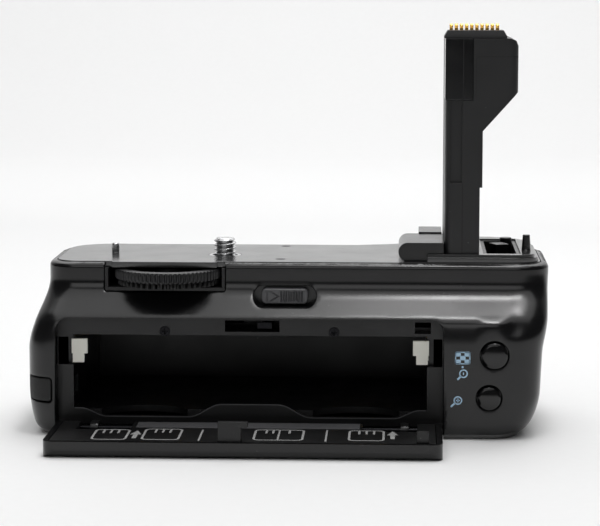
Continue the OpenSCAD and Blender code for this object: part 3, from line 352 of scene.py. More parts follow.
def rear_uv(xz):
    """Unrolled place of points of the rear face given by X and Z."""
    x, z = xz[:, 0], xz[:, 1]
    c = REAR_CORNER
    xa, xb = left_x(z) + inset(z, 0.0) + c, right_x(z) - inset(z, 0.0) - c
    a = 1.0 - np.degrees(np.arcsin(np.clip((xa - x) / c, 0.0, 1.0))) / 90.0
    b = 2.0 + np.degrees(np.arcsin(np.clip((x - xb) / c, 0.0, 1.0))) / 90.0
    s = np.select([x < xa, x < xb], [a, 1.0 + (x - xa) / (xb - xa)], b)
    return np.stack([np.interp(s, REAR_S, REAR_U), z], axis=1)


def right_uv(yz):
    """Unrolled place of points of the right side of the rear cover given by Y and Z."""
    y, z = yz[:, 0], yz[:, 1]
    y3 = rear_y(right_x(z) - REAR_CORNER, z) + REAR_CORNER
    return np.stack([np.interp(3.0 + (y - y3) / (SPLIT_Y - y3), REAR_S, REAR_U), z], axis=1)


def cord_uv(pz):
    """Unrolled place on the rear left corner: p from 0 at the left end of the cord passage to 1."""
    p, z = pz[:, 0], pz[:, 1]
    c = REAR_CORNER
    y0 = rear_y(left_x(z) + c, z) + c
    a = np.degrees(np.arcsin((y0 - CORD_Y) / c)) / 90.0
    b = 1.0 - np.degrees(np.arcsin((left_x(z) + c - CORD_X) / c)) / 90.0
    return np.stack([np.interp(a + (b - a) * p, REAR_S, REAR_U), z], axis=1)


def corner_uv(wz, angle):
    """Unrolled place on the front right corner: w is measured across the direction of that angle."""
    w, z = wz[:, 0], wz[:, 1]
    turn = angle + np.degrees(np.arcsin(np.clip(w / CORNER, -1.0, 1.0)))
    xc = right_x(z) - CORNER
    yc = front_y(xc, z) - CORNER
    y = yc + (w + CORNER * np.sin(np.radians(angle))) / np.cos(np.radians(angle))
    s = np.where(turn < 0.0, (y - SPLIT_Y) / (yc - SPLIT_Y), 1.0 + turn / 90.0)
    return np.stack([np.interp(s, FRONT_S, FRONT_U), z], axis=1)


def front_uv(xz):
    """Unrolled place of points of the front face given by X and Z."""
    x, z = xz[:, 0], xz[:, 1]
    xc, xd = right_x(z) - CORNER, left_x(z) + LEFT_CORNER
    turn = np.degrees(np.arccos(np.clip((x - xc) / CORNER, 0.0, 1.0))) / 90.0
    s = np.where(x > xc, 1.0 + turn, 2.0 + (x - xc) / (xd - xc))
    return np.stack([np.interp(s, FRONT_S, FRONT_U), z], axis=1)


# Building of meshes


def closed(name, points, faces, weld=0.004):
    """Mesh of welded points with its faces turned outwards."""
    mesh = bpy.data.meshes.new(name)
    mesh.from_pydata((np.asarray(points, float) * MM).tolist(), [], faces)
    bm = bmesh.new()
    bm.from_mesh(mesh)
    bmesh.ops.remove_doubles(bm, verts=bm.verts, dist=weld * MM)
    bmesh.ops.dissolve_degenerate(bm, edges=bm.edges, dist=weld * MM)
    bmesh.ops.recalc_face_normals(bm, faces=bm.faces)
    bm.to_mesh(mesh)
    bm.free()
    return mesh


def strip(n, m, along=False):
    """Quads of m rows of n points, closed around each row and, if along, from the last row to the first."""
    i = np.arange(n)
    j = np.arange(m if along else m - 1)
    a = j[:, None] * n + i[None, :]
    b = j[:, None] * n + (i[None, :] + 1) % n
    c = ((j[:, None] + 1) % m) * n + (i[None, :] + 1) % n
    d = ((j[:, None] + 1) % m) * n + i[None, :]
    return np.stack([a, b, c, d], axis=-1).reshape(-1, 4).tolist()


def inside(points, loops):
    """Even-odd test of flat points against closed loops."""
    a = np.concatenate(loops)
    b = np.concatenate([np.roll(loop, -1, axis=0) for loop in loops])
    rise = np.where(b[:, 1] == a[:, 1], 1e-12, b[:, 1] - a[:, 1])
    parts = []
    for p in np.array_split(points, len(points) // 2000 + 1):
        crosses = (a[None, :, 1] > p[:, None, 1]) != (b[None, :, 1] > p[:, None, 1])
        x = a[:, 0] + (b[:, 0] - a[:, 0]) * (p[:, None, 1] - a[:, 1]) / rise
        parts.append((crosses & (p[:, None, 0] < x)).sum(axis=1) % 2 == 1)
    return np.concatenate(parts)


def trimmed(loops, columns, rows, clear):
    """Points and triangles of the flat area inside the first loop and outside the others, over a grid
    whose points keep clear of the loops."""
    grid = np.stack(np.meshgrid(columns, rows), axis=-1).reshape(-1, 2)
    edge = np.concatenate(loops)
    grid = grid[inside(grid, loops)]
    far = [np.min(np.linalg.norm(g[:, None] - edge[None], axis=2), axis=1) > clear
           for g in np.array_split(grid, len(grid) // 2000 + 1)]
    points = np.concatenate([edge, grid[np.concatenate(far)]])
    ends = np.cumsum([0] + [len(loop) for loop in loops])
    links = [np.stack([np.arange(a, b), np.roll(np.arange(a, b), -1)], axis=1)
             for a, b in zip(ends, ends[1:])]
    flat = [Vector(p) for p in points.tolist()]
    verts, _, faces, _, _, _ = delaunay_2d_cdt(flat, np.concatenate(links).tolist(), [], 0, 1e-4)
    points, faces = np.array([v[:] for v in verts]), np.array(faces)
    return points, faces[inside(points[faces].mean(axis=1), loops)]


def shell(name, at, rims, columns, rows, clear):
    """Closed shell between an outer and an inner skin. Each list of rims starts on the outer skin and ends
    on the inner one, and is joined by strips; the first list is the border, the others are holes. A rim is
    (unrolled places, depth, plane): where the plane isn't nan, the point lies at that Y."""
    points, faces, start = [], [], 0
    for side in (0, -1):
        step = 1 if side == 0 else 2
        flat, triangles = trimmed([r[side][0] for r in rims], columns[::step], rows[::step], clear)
        points.append(at(flat, float(np.max(rims[0][side][1]))))
        faces += (triangles + start).tolist()
        start += len(flat)
    for chain in rims:
        for uv, depth, plane in chain:
            p = at(uv, depth)
            p[:, 1] = np.where(np.isnan(plane), p[:, 1], plane)
            points.append(p)
        n = len(chain[0][0])
        faces += (np.array(strip(n, len(chain))) + start).tolist()
        start += n * len(chain)
    return closed(name, np.concatenate(points), faces)


def rounded(cx, cz, w, h, r, grow=0.0, arc=7, run=24):
    """Rounded rectangle of that centre, width, height and corner radius, grown outwards; points run
    anticlockwise, with arc points on each corner and run points along each side."""
    w, h, r = w / 2.0 + grow, h / 2.0 + grow, max(r + grow, 0.01)
    turn = np.radians(np.linspace(0.0, 90.0, arc))
    corners = [(cx + w - r, cz + h - r, 0.0), (cx - w + r, cz + h - r, 90.0),
               (cx - w + r, cz - h + r, 180.0), (cx + w - r, cz - h + r, 270.0)]
    parts = []
    for i, (x, z, a) in enumerate(corners):
        b = turn + np.radians(a)
        bend = np.stack([x + r * np.cos(b), z + r * np.sin(b)], axis=1)
        nx, nz, na = corners[(i + 1) % 4]
        end = np.array([nx + r * np.cos(np.radians(na)), nz + r * np.sin(np.radians(na))])
        f = np.linspace(0.0, 1.0, run + 1)[1:-1, None]
        parts += [bend, bend[-1] + (end - bend[-1]) * f]
    return np.concatenate(parts)


def lip(outline, r, steps=4):
    """Rims of a rounded edge of radius r: the outline draws in along a quarter circle as the depth grows."""
    turns = np.linspace(0.0, np.pi / 2.0, steps)
    return [(outline(r * (1.0 - np.sin(a))), r * (1.0 - np.cos(a)), np.nan) for a in turns]


# Pieces


def piece(name, mesh, body, slot, material, *nodes, sharp=32.0):
    """Shows a mesh on a body, smooth but for edges sharper than that many degrees, in place of CAD nodes."""
    obj = bpy.data.objects.new(name, mesh)
    bpy.context.scene.collection.objects.link(obj)
    mesh.materials.clear()
    mesh.materials.append(material)
    mesh.shade_smooth()
    mesh.set_sharp_from_angle(angle=math.radians(sharp))
    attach(obj, body)
    if nodes:
        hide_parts(*nodes)
    return obj


def dress(node, slot, material, width=0.2, bend=30.0, merge=0.003):
    """Copy of a CAD node with its vertices merged, flat faces joined and hard edges rounded by width mm."""
    source = frame["nodes"][node]
    bm = bmesh.new()
    bm.from_mesh(source.data)
    bmesh.ops.remove_doubles(bm, verts=bm.verts, dist=merge * MM)
    bmesh.ops.dissolve_limit(bm, angle_limit=math.radians(0.5), verts=bm.verts, edges=bm.edges)
    hard = [e for e in bm.edges if len(e.link_faces) == 2 and e.calc_face_angle(0.0) > math.radians(bend)]
    if width and hard:
        bmesh.ops.bevel(bm, geom=hard, offset=width * MM, offset_type="OFFSET", segments=2, profile=0.5,
                        affect="EDGES", clamp_overlap=True)
    mesh = bpy.data.meshes.new(node + "_look")
    bm.to_mesh(mesh)
    bm.free()
    if "custom_normal" in mesh.attributes:
        mesh.attributes.remove(mesh.attributes["custom_normal"])
    obj = piece(node + "_look", mesh, source["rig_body"], slot, material, node)
    obj.modifiers.new("weighted", "WEIGHTED_NORMAL").keep_sharp = True
    return obj


# The two covers

# Radii of their rounded edges: seams, wheel notch, door opening, control holes, side slots, lock recess
SEAM_R, NOTCH_R, DOOR_R, HOLE_R, SLOT_R, RECESS_R = 0.2, 0.35, 0.5, 0.35, 0.3, 0.45
# Width of the land that meets the frame of the bay, corner of the notch and gap round a rear button
LAND, NOTCH_CORNER, BUTTON_GAP = 1.5, 0.7, 0.25
# Width and height of the lock's recess, of the slot in its floor and of the boss behind it
RECESS, STEM_SLOT, RECESS_BACK = (17.4, 5.5), (9.2, 1.8), (19.0, 7.1)


def door_path(grow):
    """Edge of the door opening in X and Z, from the lower left up, over and down, grown outwards."""
    up = np.linspace(SKIRT, OPEN_Z - OPEN_R, 40)[:-1]
    turn = np.radians(np.linspace(180.0, 90.0, 9))
    r = OPEN_R + grow
    left = np.stack([np.full_like(up, OPEN_X0 - grow), up], axis=1)
    bend = np.stack([OPEN_X0 + OPEN_R + r * np.cos(turn), OPEN_Z - OPEN_R + r * np.sin(turn)], axis=1)
    half = (OPEN_X0 + OPEN_X1) / 2.0
    over = np.linspace(bend[-1, 0], 2.0 * half - bend[-1, 0], 120)[1:-1]
    top = np.stack([over, np.full_like(over, OPEN_Z + grow)], axis=1)
    mirror = np.concatenate([left, bend])[::-1] * [-1.0, 1.0] + [2.0 * half, 0.0]
    return np.concatenate([left, bend, top, mirror])


def line(a, b, n):
    """n points from a to b."""
    return np.asarray(a) + (np.asarray(b) - np.asarray(a)) * np.linspace(0.0, 1.0, n)[:, None]


def notch_path(grow):
    """Edge of the wheel notch in X and Z from the rim at its right, down, along and up to the rim."""
    r = NOTCH_CORNER + grow
    x0, x1, z0 = NOTCH_X0 - grow, NOTCH_X1 + grow, NOTCH_Z - grow
    turn = np.radians(np.linspace(0.0, -90.0, 6))
    bend = np.stack([x1 - r + r * np.cos(turn), z0 + r + r * np.sin(turn)], axis=1)
    down = line((x1, BODY_HEIGHT), bend[0], 22)[:-1]
    half = (x0 + x1) / 2.0
    mirror = np.concatenate([down, bend])[::-1] * [-1.0, 1.0] + [2.0 * half, 0.0]
    along = line(bend[-1], mirror[0], 60)[1:-1]
    return np.concatenate([down, bend, along, mirror])


def rear_border():
    """Rims of the rear cover's border: bottom, door opening, bottom, right seam, top with the wheel notch
    and left seam. The door opening ends in a flat land that meets the frame of the bay."""
    chain = []
    turns = np.linspace(0.0, np.pi / 2.0, 4)
    bends = [(1.0 - np.sin(a), 1.0 - np.cos(a), 0.0) for a in turns]
    for i, (off, down, wall) in enumerate(bends + [(0.0, 1.0, 0.8), (0.0, 1.0, 0.9), (0.0, 1.0, 1.0)]):
        a, b = REAR_U[0] + SEAM_R * off, REAR_U[-1] - SEAM_R * off
        door = rear_uv(door_path(LAND if i > 4 else DOOR_R * off))
        notch = rear_uv(notch_path(NOTCH_R * off))
        parts = [line((a, SKIRT), door[0], 60), door, line(door[-1], (b, SKIRT), 60),
                 line((b, SKIRT), (b, BODY_HEIGHT), 50), line((b, BODY_HEIGHT), notch[0], 130), notch,
                 line(notch[-1], (a, BODY_HEIGHT), 90), line((a, BODY_HEIGHT), (a, SKIRT), 50)]
        plain = wall * WALL
        seam, cut = max(plain, SEAM_R * down), max(plain, NOTCH_R * down)
        depths = [plain, WALL if i == 6 else DOOR_R * down, plain, seam, plain, cut, plain, seam]
        planes = [np.nan, FRAME_Y - 0.1 if i in (4, 5) else np.nan] + 6 * [np.nan]
        n = [len(p) for p in parts]
        chain.append((np.concatenate(parts), np.repeat(depths, n), np.repeat(planes, n)))
    return chain


def front_border():
    """Rims of the front cover's border: the two seams, the bottom and the top."""
    chain = []
    bends = [(1.0, 0.0, 0.0), (0.5, 0.134, 0.0), (0.134, 0.5, 0.0), (0.0, 1.0, 0.0), (0.0, 1.0, 1.0)]
    for off, down, wall in bends:
        a, b = FRONT_U[0] + SEAM_R * off, FRONT_U[-1] - SEAM_R * off
        parts = [line((a, SKIRT), (b, SKIRT), 200), line((b, SKIRT), (b, BODY_HEIGHT), 50),
                 line((b, BODY_HEIGHT), (a, BODY_HEIGHT), 200), line((a, BODY_HEIGHT), (a, SKIRT), 50)]
        edge = wall * WALL
        depths = 2 * [edge, max(edge, SEAM_R * down)]
        n = [len(p) for p in parts]
        chain.append((np.concatenate(parts), np.repeat(depths, n), np.nan))
    return chain


def hole(outline, r):
    """Rims of a plain opening through the wall with a rounded edge."""
    return lip(outline, r) + [(outline(0.0), WALL, np.nan)]


def lock_recess():
    """Rims of the lock's recess: rounded edge, walls, floor, stem slot, then the back of its boss."""
    def stadium(w, h):
        return rear_uv(rounded(LOCK_X, LOCK_Z, w, h, h / 2.0 - 0.01, 0.0, 12, 20))
    rims = lip(lambda g: stadium(RECESS[0] + 2.0 * g, RECESS[1] + 2.0 * g), RECESS_R)
    floor_y, back_y = -REAR_TOP + 1.2, -REAR_TOP + 2.2
    walls = [(RECESS, floor_y), (STEM_SLOT, floor_y), (STEM_SLOT, back_y), (RECESS_BACK, back_y)]
    rims += [(stadium(*size), 0.0, y) for size, y in walls]
    return rims + [(stadium(*RECESS_BACK), WALL, np.nan)]


def circle(cx, cz, r, n=72):
    """Points round a circle."""
    a = np.linspace(0.0, 2.0 * np.pi, n, endpoint=False)
    return np.stack([cx + r * np.cos(a), cz + r * np.sin(a)], axis=1)


def cord_edge(w, h, r):
    """Outline, which grows with g, of a rounded rectangle about the middle of the cord passage."""
    return lambda g: cord_uv(rounded(CORD_WIDE / 2.0, CORD_Z, w, h, r, g) * [1.0 / CORD_WIDE, 1.0])


def spaced(*runs):
    """Evenly spaced values, run after run, each run given as its first value, its last and a count."""
    return np.concatenate([np.linspace(*run) for run in runs])


# Rows are close together at the lower edge, on the slope and round the rim
rim_rows = BODY_HEIGHT - RIM * np.cos(np.radians(np.linspace(8.0, 82.0, 9)))
cover_rows = np.append(spaced((1.5, 5.5, 9), (6.3, 31.5, 33), (32.0, 44.6, 32)), rim_rows)
rear_columns = spaced((1.0, 29.0, 24), (30.0, 44.0, 22), (45.0, 169.5, 140), (170.5, 184.0, 22),
                      (185.0, 213.5, 24))
front_columns = spaced((1.0, 7.0, 7), (8.0, 35.0, 34), (36.0, 147.0, 90), (148.0, 169.0, 28),
                       (170.0, 179.5, 9))
rear_rims = [
    rear_border(),
    lock_recess(),
    hole(lambda g: rear_uv(circle(*UPPER_BUTTON[:2], UPPER_BUTTON[2] + BUTTON_GAP + g)), HOLE_R),
    hole(lambda g: rear_uv(circle(*LOWER_BUTTON[:2], LOWER_BUTTON[2] + BUTTON_GAP + g)), HOLE_R),
    hole(lambda g: right_uv(rounded(1.0, 15.0, 8.4, 3.6, 0.4, g)), SLOT_R),
    hole(cord_edge(CORD_WIDE, 7.0, 1.2), SLOT_R),
]
piece("rear_cover_look", shell("rear_cover_look", rear_at, rear_rims, rear_columns, cover_rows, 0.42),
      "grip", "body_plastic", SATIN, "rear_cover")
front_rims = [
    front_border(),
    hole(lambda g: corner_uv(circle(0.0, SHUTTER_Z, 5.0 + g), SHUTTER_ANGLE), HOLE_R),
    hole(lambda g: corner_uv(rounded(0.0, SHUTTER_Z, 13.8, 6.8, 0.6, g), DIAL_ANGLE), HOLE_R),
]
piece("front_cover_look", shell("front_cover_look", front_at, front_rims, front_columns, cover_rows, 0.42),
      "grip", "body_plastic", SATIN, "front_cover")


def pad(name, at, outline, high, low, columns, rows, r):
    """Closed skin patch from depth low up to high with a rounded edge; outline(g) grows with g."""
    turns = np.linspace(0.0, np.pi / 2.0, 5)
    rims = [(outline(-r * (1.0 - np.sin(a))), high + r * (1.0 - np.cos(a)), np.nan) for a in turns]
    return shell(name, at, [rims + [(outline(0.0), low, np.nan)]], columns, rows, 0.4)


# Axis of the front right corner at the height of the shutter button and the dial
corner_x = right_x(np.array([SHUTTER_Z]))[0] - CORNER
corner_y = front_y(np.array([corner_x]), np.array([SHUTTER_Z]))[0] - CORNER
rubber_left, rubber_right = 46.0, corner_x + 1.5
rubber_mid, rubber_wide = (rubber_left + rubber_right) / 2.0, rubber_right - rubber_left
rubber_pad = pad("grip_rubber_look", front_at,
                 lambda g: front_uv(rounded(rubber_mid, 22.0, rubber_wide, 32.0, 6.0, g)),
                 -0.7, 0.0, np.linspace(28.0, 66.0, 60), np.linspace(6.5, 37.5, 48), 0.5)
piece("grip_rubber_look", rubber_pad, "grip", "rubber", RUBBER, "grip_rubber")
cord_flap = pad("cord_cover_look", rear_at, cord_edge(CORD_WIDE - 0.6, 6.4, 1.0),
                0.0, WALL, np.linspace(30.0, 45.0, 24), np.linspace(9.7, 15.9, 12), 0.3)
piece("cord_cover_look", cord_flap, "cord_flap", "rubber", RUBBER, "cord_cover")


# Turned, knurled and threaded pieces


def turned(name, profile, n, along=False, ribs=None, place=(0.0, 0.0, 0.0), axes=None):
    """Closed mesh of a profile of (radius, height) turned about Z. Ribs, if given, is an array of radius
    changes for every row and angle. Axes, if given, are the directions that X, Y and Z turn into."""
    profile = np.asarray(profile, float)
    angle = np.linspace(0.0, 2.0 * np.pi, n, endpoint=False)
    r = profile[:, :1] + (0.0 if ribs is None else ribs)
    h = profile[:, 1:] + 0.0 * angle
    p = np.stack([r * np.cos(angle), r * np.sin(angle), h], axis=-1).reshape(-1, 3)
    if axes is not None:
        p = p @ np.asarray(axes, float)
    return closed(name, p + np.asarray(place, float), strip(n, len(profile), along), 0.002)


def comb(n, count, width):
    """Wave round a turned piece: 0 on each of count ribs and 1 between them, with round shoulders; width
    is the share of a rib."""
    f = np.abs(((np.arange(n) * count / n + 0.5) % 1.0) - 0.5) * 2.0
    return ease((f - width + 0.22) / 0.44)


def screw_rows():
    """Camera screw: its plain shaft, then a right-handed thread. The radius falls from the crest by a
    trapezoid wave of height over pitch less turns, and never passes the chamfered tip."""
    n = 96
    z1 = TOP_Z + 4.8
    shaft = [(0.0, 35.8), (2.2, 35.8), (2.45, 36.05), (2.45, 45.42), (3.95, 45.42), (4.07, 45.52),
             (4.07, 45.72), (2.67, 45.72)]
    heights = np.linspace(TOP_Z - 1.2, z1, 110)
    crest = np.stack([np.full_like(heights, SCREW_R), heights], axis=1)
    rows = np.concatenate([np.array(shaft), crest, [[0.0, z1]]])
    turns = np.arange(n) / n
    wave = np.abs(((heights[:, None] / SCREW_PITCH - turns) % 1.0) - 0.5) * 2.0
    thread = -0.68 * np.clip((0.88 - wave) / 0.76, 0.0, 1.0)
    tip = np.clip(heights[:, None] - (z1 - 0.7), 0.0, 0.7)
    thread = np.minimum(thread, -tip)
    ribs = np.zeros((len(rows), n))
    ribs[len(shaft):-1] = thread
    return rows, n, ribs


rows, n, ribs = screw_rows()
piece("tripod_screw_look", turned("tripod_screw_look", rows, n, ribs=ribs),
      "screw", "steel", STEEL, "tripod_screw", sharp=50.0)

pin = [(0.0, 44.2), (2.1, 44.2), (2.1, 45.8), (1.4, 45.8), (1.4, TOP_Z - 0.15), (1.3, TOP_Z), (1.1, TOP_Z),
       (1.1, TOP_Z + 2.1)]
pin += [(0.62 + 0.48 * math.cos(a), TOP_Z + 2.1 + 0.65 * math.sin(a))
        for a in np.radians(np.linspace(15.0, 90.0, 6))]
pin += [(0.0, TOP_Z + 2.75)]
piece("locating_pin_look", turned("locating_pin_look", pin, 48, place=(-32.0, 4.0, 0.0)),
      "grip", "steel", STEEL, "locating_pin", sharp=40.0)

WHEEL = (WHEEL_X, -math.sqrt(GEAR_SPAN**2 - WHEEL_X**2), 0.0)
wheel_rows = [(1.53, 42.2), (14.2, 42.2), (14.75, 42.3), (15.05, 42.6), (15.2, 42.95), (15.2, 43.4),
              (15.2, 44.2), (15.2, 44.65), (15.05, 45.0), (14.75, 45.3), (14.2, 45.4), (12.5, 45.4),
              (12.2, 45.1), (12.2, 44.0), (4.2, 44.0), (4.2, 45.2), (4.0, 45.4), (1.53, 45.4)]
wheel_n = WHEEL_RIBS * 8
wheel_ribs = np.zeros((len(wheel_rows), wheel_n))
wheel_deep = np.array([0.0, 0.2, 0.45, 0.45, 0.45, 0.45, 0.2, 0.0])
wheel_ribs[2:10] = -wheel_deep[:, None] * comb(wheel_n, WHEEL_RIBS, 0.5)
piece("attachment_wheel_look", turned("attachment_wheel_look", wheel_rows, wheel_n, True, wheel_ribs, WHEEL),
      "wheel", "control_plastic", CONTROL, "attachment_wheel", sharp=40.0)

dial_turn = math.radians(DIAL_ANGLE)
DIAL = (corner_x + DIAL_REACH * math.cos(dial_turn), corner_y + DIAL_REACH * math.sin(dial_turn),
        SHUTTER_Z - 3.0)
dial_rows = [(1.25, 0.0), (5.2, 0.0), (5.9, 0.15), (6.3, 0.5), (6.4, 0.9), (6.4, 3.0), (6.4, 5.1), (6.3, 5.5),
             (5.9, 5.85), (5.2, 6.0), (1.25, 6.0)]
dial_n = DIAL_RIBS * 10
dial_ribs = np.zeros((len(dial_rows), dial_n))
dial_deep = np.array([0.0, 0.35, 0.5, 0.5, 0.5, 0.35, 0.0])
dial_ribs[2:9] = -dial_deep[:, None] * comb(dial_n, DIAL_RIBS, 0.45)
piece("control_dial_look", turned("control_dial_look", dial_rows, dial_n, True, dial_ribs, DIAL),
      "dial", "control_plastic", CONTROL, "control_dial", sharp=40.0)


def button(node, body, r, depth, flange, dish, place, axes, bend=0.45):
    """Push button: a shallow dish, or a dome where dish is below 0, a rounded edge, shaft and flange."""
    face = [(a, dish * (1.0 - (a / r) ** 2)) for a in np.linspace(0.0, r - bend, 12)]
    edge = [(r - bend + bend * math.sin(a), 0.02 + bend * (1.0 - math.cos(a)))
            for a in np.radians(np.linspace(20.0, 90.0, 6))]
    back = [(r, depth), (0.0, depth)]
    if flange:
        back = [(r, depth - 1.0), (r + flange, depth - 1.0), (r + flange, depth), (0.0, depth)]
    mesh = turned(node + "_look", face + edge + back, 80, place=place, axes=axes)
    piece(node + "_look", mesh, body, "control_plastic", POLISHED, node, sharp=40.0)


into = [(1.0, 0.0, 0.0), (0.0, 0.0, -1.0), (0.0, 1.0, 0.0)]
for node, (x, z, r) in (("upper_button", UPPER_BUTTON), ("lower_button", LOWER_BUTTON)):
    button(node, node, r, 5.36, 0.9, -0.44, (x, -REAR_DEPTH - 1.16, z), into)
ca, sa = math.cos(math.radians(SHUTTER_ANGLE)), math.sin(math.radians(SHUTTER_ANGLE))
inward = [(0.0, 0.0, 1.0), (-sa, ca, 0.0), (-ca, -sa, 0.0)]
shutter = (corner_x + 19.0 * ca, corner_y + 19.0 * sa, SHUTTER_Z)
button("shutter_button", "shutter", 3.8, 3.4, 0.0, 0.4, shutter, inward)


# Lock slider: one height field over a rounded rectangle


def slider_at(uv, t):
    """Front of the lock slider at depth t. Its relief, which dies out towards the edge, is a row of round
    ribs at the right, a groove beside them and, on the smooth pad at the left, an engraved triangle."""
    x, z = uv[:, 0] - LOCK_X, uv[:, 1] - LOCK_Z
    edge = ease((5.95 - np.abs(x)) / 0.5) * ease((1.75 - np.abs(z)) / 0.35)
    wave = 0.5 - 0.5 * np.cos(2.0 * np.pi * (x + 0.6) / 0.72)
    ribs = 0.45 * wave * ease((x + 0.55) / 0.2) * ease((5.2 - x) / 0.2)
    groove = 0.45 * np.exp(-(((x + 0.95) / 0.22) ** 2))
    a = np.abs(z) - 0.62 * (-1.75 - x)
    side = np.maximum(a / 1.18, -4.9 - x)
    mark = 0.3 * np.exp(-((side / 0.16) ** 2))
    relief = edge * np.maximum(np.maximum(ribs, groove), mark) * np.clip(1.0 - t / 0.4, 0.0, 1.0)
    y = -REAR_TOP - 2.4 + t + relief
    return np.stack([uv[:, 0], y, uv[:, 1]], axis=1)


slider = pad("lock_knob_look", slider_at, lambda g: rounded(LOCK_X, LOCK_Z, 12.8, 4.2, 1.3, g), 0.0, 3.3,
             np.linspace(LOCK_X - 6.3, LOCK_X + 6.3, 150), np.linspace(LOCK_Z - 2.0, LOCK_Z + 2.0, 48), 0.4)
piece("lock_knob_look", slider, "lock", "control_plastic", SLIDER, "lock_knob", sharp=60.0)


# Nodes that keep their CAD form, with their hard edges rounded

DRESSED = {
    "body_plastic": (SATIN, 0.3, "door_panel door_filler"),
    "tower_plastic": (TOWER, 0.3, "tower_rear_shell tower_front_shell"),
    "inner_plastic": (MATT, 0.2, "battery_bay bay_frame door_liner door_hook bay_guides wheel_housing "
                                 "holder_tray holder_clips lock_guide"),
    "plate_paint": (PLATE, 0.15, "top_plate tower_base base_plate"),
    "control_plastic": (CONTROL, 0.2, "power_knob shutter_cup"),
    "gear_plastic": (GEAR, 0.1, "drive_gear"),
    "gloss_insert": (GLOSS, 0.2, "tower_insert"),
    "grey_plastic": (CARRIER, 0.15, "contact_carrier power_switch"),
    "white_plastic": (ACETAL, 0.2, "left_lever right_lever"),
    "gold_contact": (GOLD, 0.08, "tower_contacts bay_contacts"),
    "steel": (STEEL, 0.15, "wheel_axle tripod_socket dial_bracket button_switches screw_bush"),
    "dark_steel": (DARK, 0.12, "hinge_pins base_screws frame_screws latch_bolt"),
    "gear_brass": (BRASS, 0.1, "screw_gear"),
    "board": (RESIST, 0.1, "circuit_board button_board"),
    "board_parts": (EPOXY, 0.1, "board_parts"),
    "rubber": (RUBBER, 0.3, "base_pads"),
}
# Finishes that share a slot of the record with others
SHARED = {"tower_plastic": "body_plastic", "gear_plastic": "control_plastic"}
for slot_name, (material, width, names) in DRESSED.items():
    for node in names.split():
        dress(node, SHARED.get(slot_name, slot_name), material, width)


# Printed marks and small details


def stroke(path, width, loop=False):
    """The two edges of a line of that width along a path; each point moves along the mean normal of the
    legs beside it."""
    p = np.asarray(path, float)
    ahead = np.roll(p, -1, axis=0) - p
    if not loop:
        ahead[-1] = ahead[-2]
    ahead /= np.linalg.norm(ahead, axis=1, keepdims=True)
    behind = np.roll(ahead, 1, axis=0)
    if not loop:
        behind[0] = ahead[0]
    mean = ahead + behind
    mean /= np.linalg.norm(mean, axis=1, keepdims=True)
    reach = np.clip((mean * ahead).sum(axis=1, keepdims=True), 0.5, 1.0)
    side = np.stack([-mean[:, 1], mean[:, 0]], axis=1) * width / 2.0 / reach
    return p + side, p - side, loop


def bar(x0, x1, z0, z1):
    """The two edges of a filled rectangle."""
    return np.array([[x0, z0], [x0, z1]]), np.array([[x1, z0], [x1, z1]]), False


def bands(name, at, shapes, body, slot, material, high, low):
    """One mesh of closed slabs from depth low up to high, each between the two edges of a shape."""
    points, faces, start = [], [], 0
    for a, b, loop in shapes:
        n = len(a)
        points.append(np.stack([at(a, high), at(b, high), at(b, low), at(a, low)], axis=1).reshape(-1, 3))
        faces += (np.array(strip(4, n, loop)) + start).tolist()
        if not loop:
            faces += [[start + i for i in range(4)], [start + 4 * (n - 1) + i for i in range(4)]]
        start += 4 * n
    piece(name, closed(name, np.concatenate(points), faces, 0.0005), body, slot, material)


def on_rear(xz, t):
    """Rear face of the body by X and Z."""
    return rear_at(rear_uv(xz), t)


def on_door(xy, t):
    """Inner face of the open door by X and Y."""
    return np.stack([xy[:, 0], xy[:, 1], DOOR_Z - t + 0.0 * xy[:, 0]], axis=1)


def lens(x, z, r, hx, hz):
    """Ring of a magnifier and its handle, which ends at hx, hz."""
    to = np.array([hx - x, hz - z]) / math.hypot(hx - x, hz - z)
    return [stroke(circle(x, z, r, 32), 0.36, True), stroke([np.array([x, z]) + to * r, (hx, hz)], 0.5)]


def cell(x0, x1, y0, y1, ticks):
    """Plain outline of a battery pack seen from above, with its contacts as short ticks."""
    frame_line = stroke(rounded((x0 + x1) / 2, (y0 + y1) / 2, x1 - x0, y1 - y0, 1.4, 0.0, 4, 2), 0.6, True)
    return [frame_line] + [bar(x - 0.3, x + 0.3, y1 - 4.6, y1 - 0.2) for x in ticks]


def arrow(x, y0, y1):
    """Arrow that points away from the viewer: a stem and a tapered head."""
    head = np.array([[0.0, y1 - 5.0], [0.0, y1]])
    wide = np.array([[1.5, 0.0], [0.05, 0.0]])
    return [bar(x - 0.6, x + 0.6, y0, y1 - 4.9), (head + [x, 0.0] - wide, head + [x, 0.0] + wide, False)]


# Icons beside the buttons: a chequered frame with a dot, a magnifier with a bar and one with a plus
third = np.linspace(21.2, 24.3, 4)
across = np.linspace(65.5, 69.3, 4)
grid = [bar(across[i] - 0.12, across[i + 1] + 0.12, third[j] - 0.1, third[j + 1] + 0.1)
        for i in range(3) for j in range(3) if (i + j) % 2 == 0]
grid.append(stroke(rounded(67.4, 22.75, 3.9, 3.2, 0.25, 0.0, 3, 3), 0.3, True))
grid.append(stroke(circle(67.4, 20.25, 0.16, 16), 0.3, True))
icons = grid + lens(67.64, 18.4, 1.02, 66.0, 16.72) + lens(66.17, 10.94, 1.02, 64.25, 9.15)
icons += [bar(67.5, 67.78, 18.05, 18.75), bar(65.62, 66.72, 10.78, 11.1), bar(66.01, 66.33, 10.4, 11.48)]
bands("button_icons", on_rear, icons, "grip", "white_plastic", BLUE_INK, -0.03, 0.05)

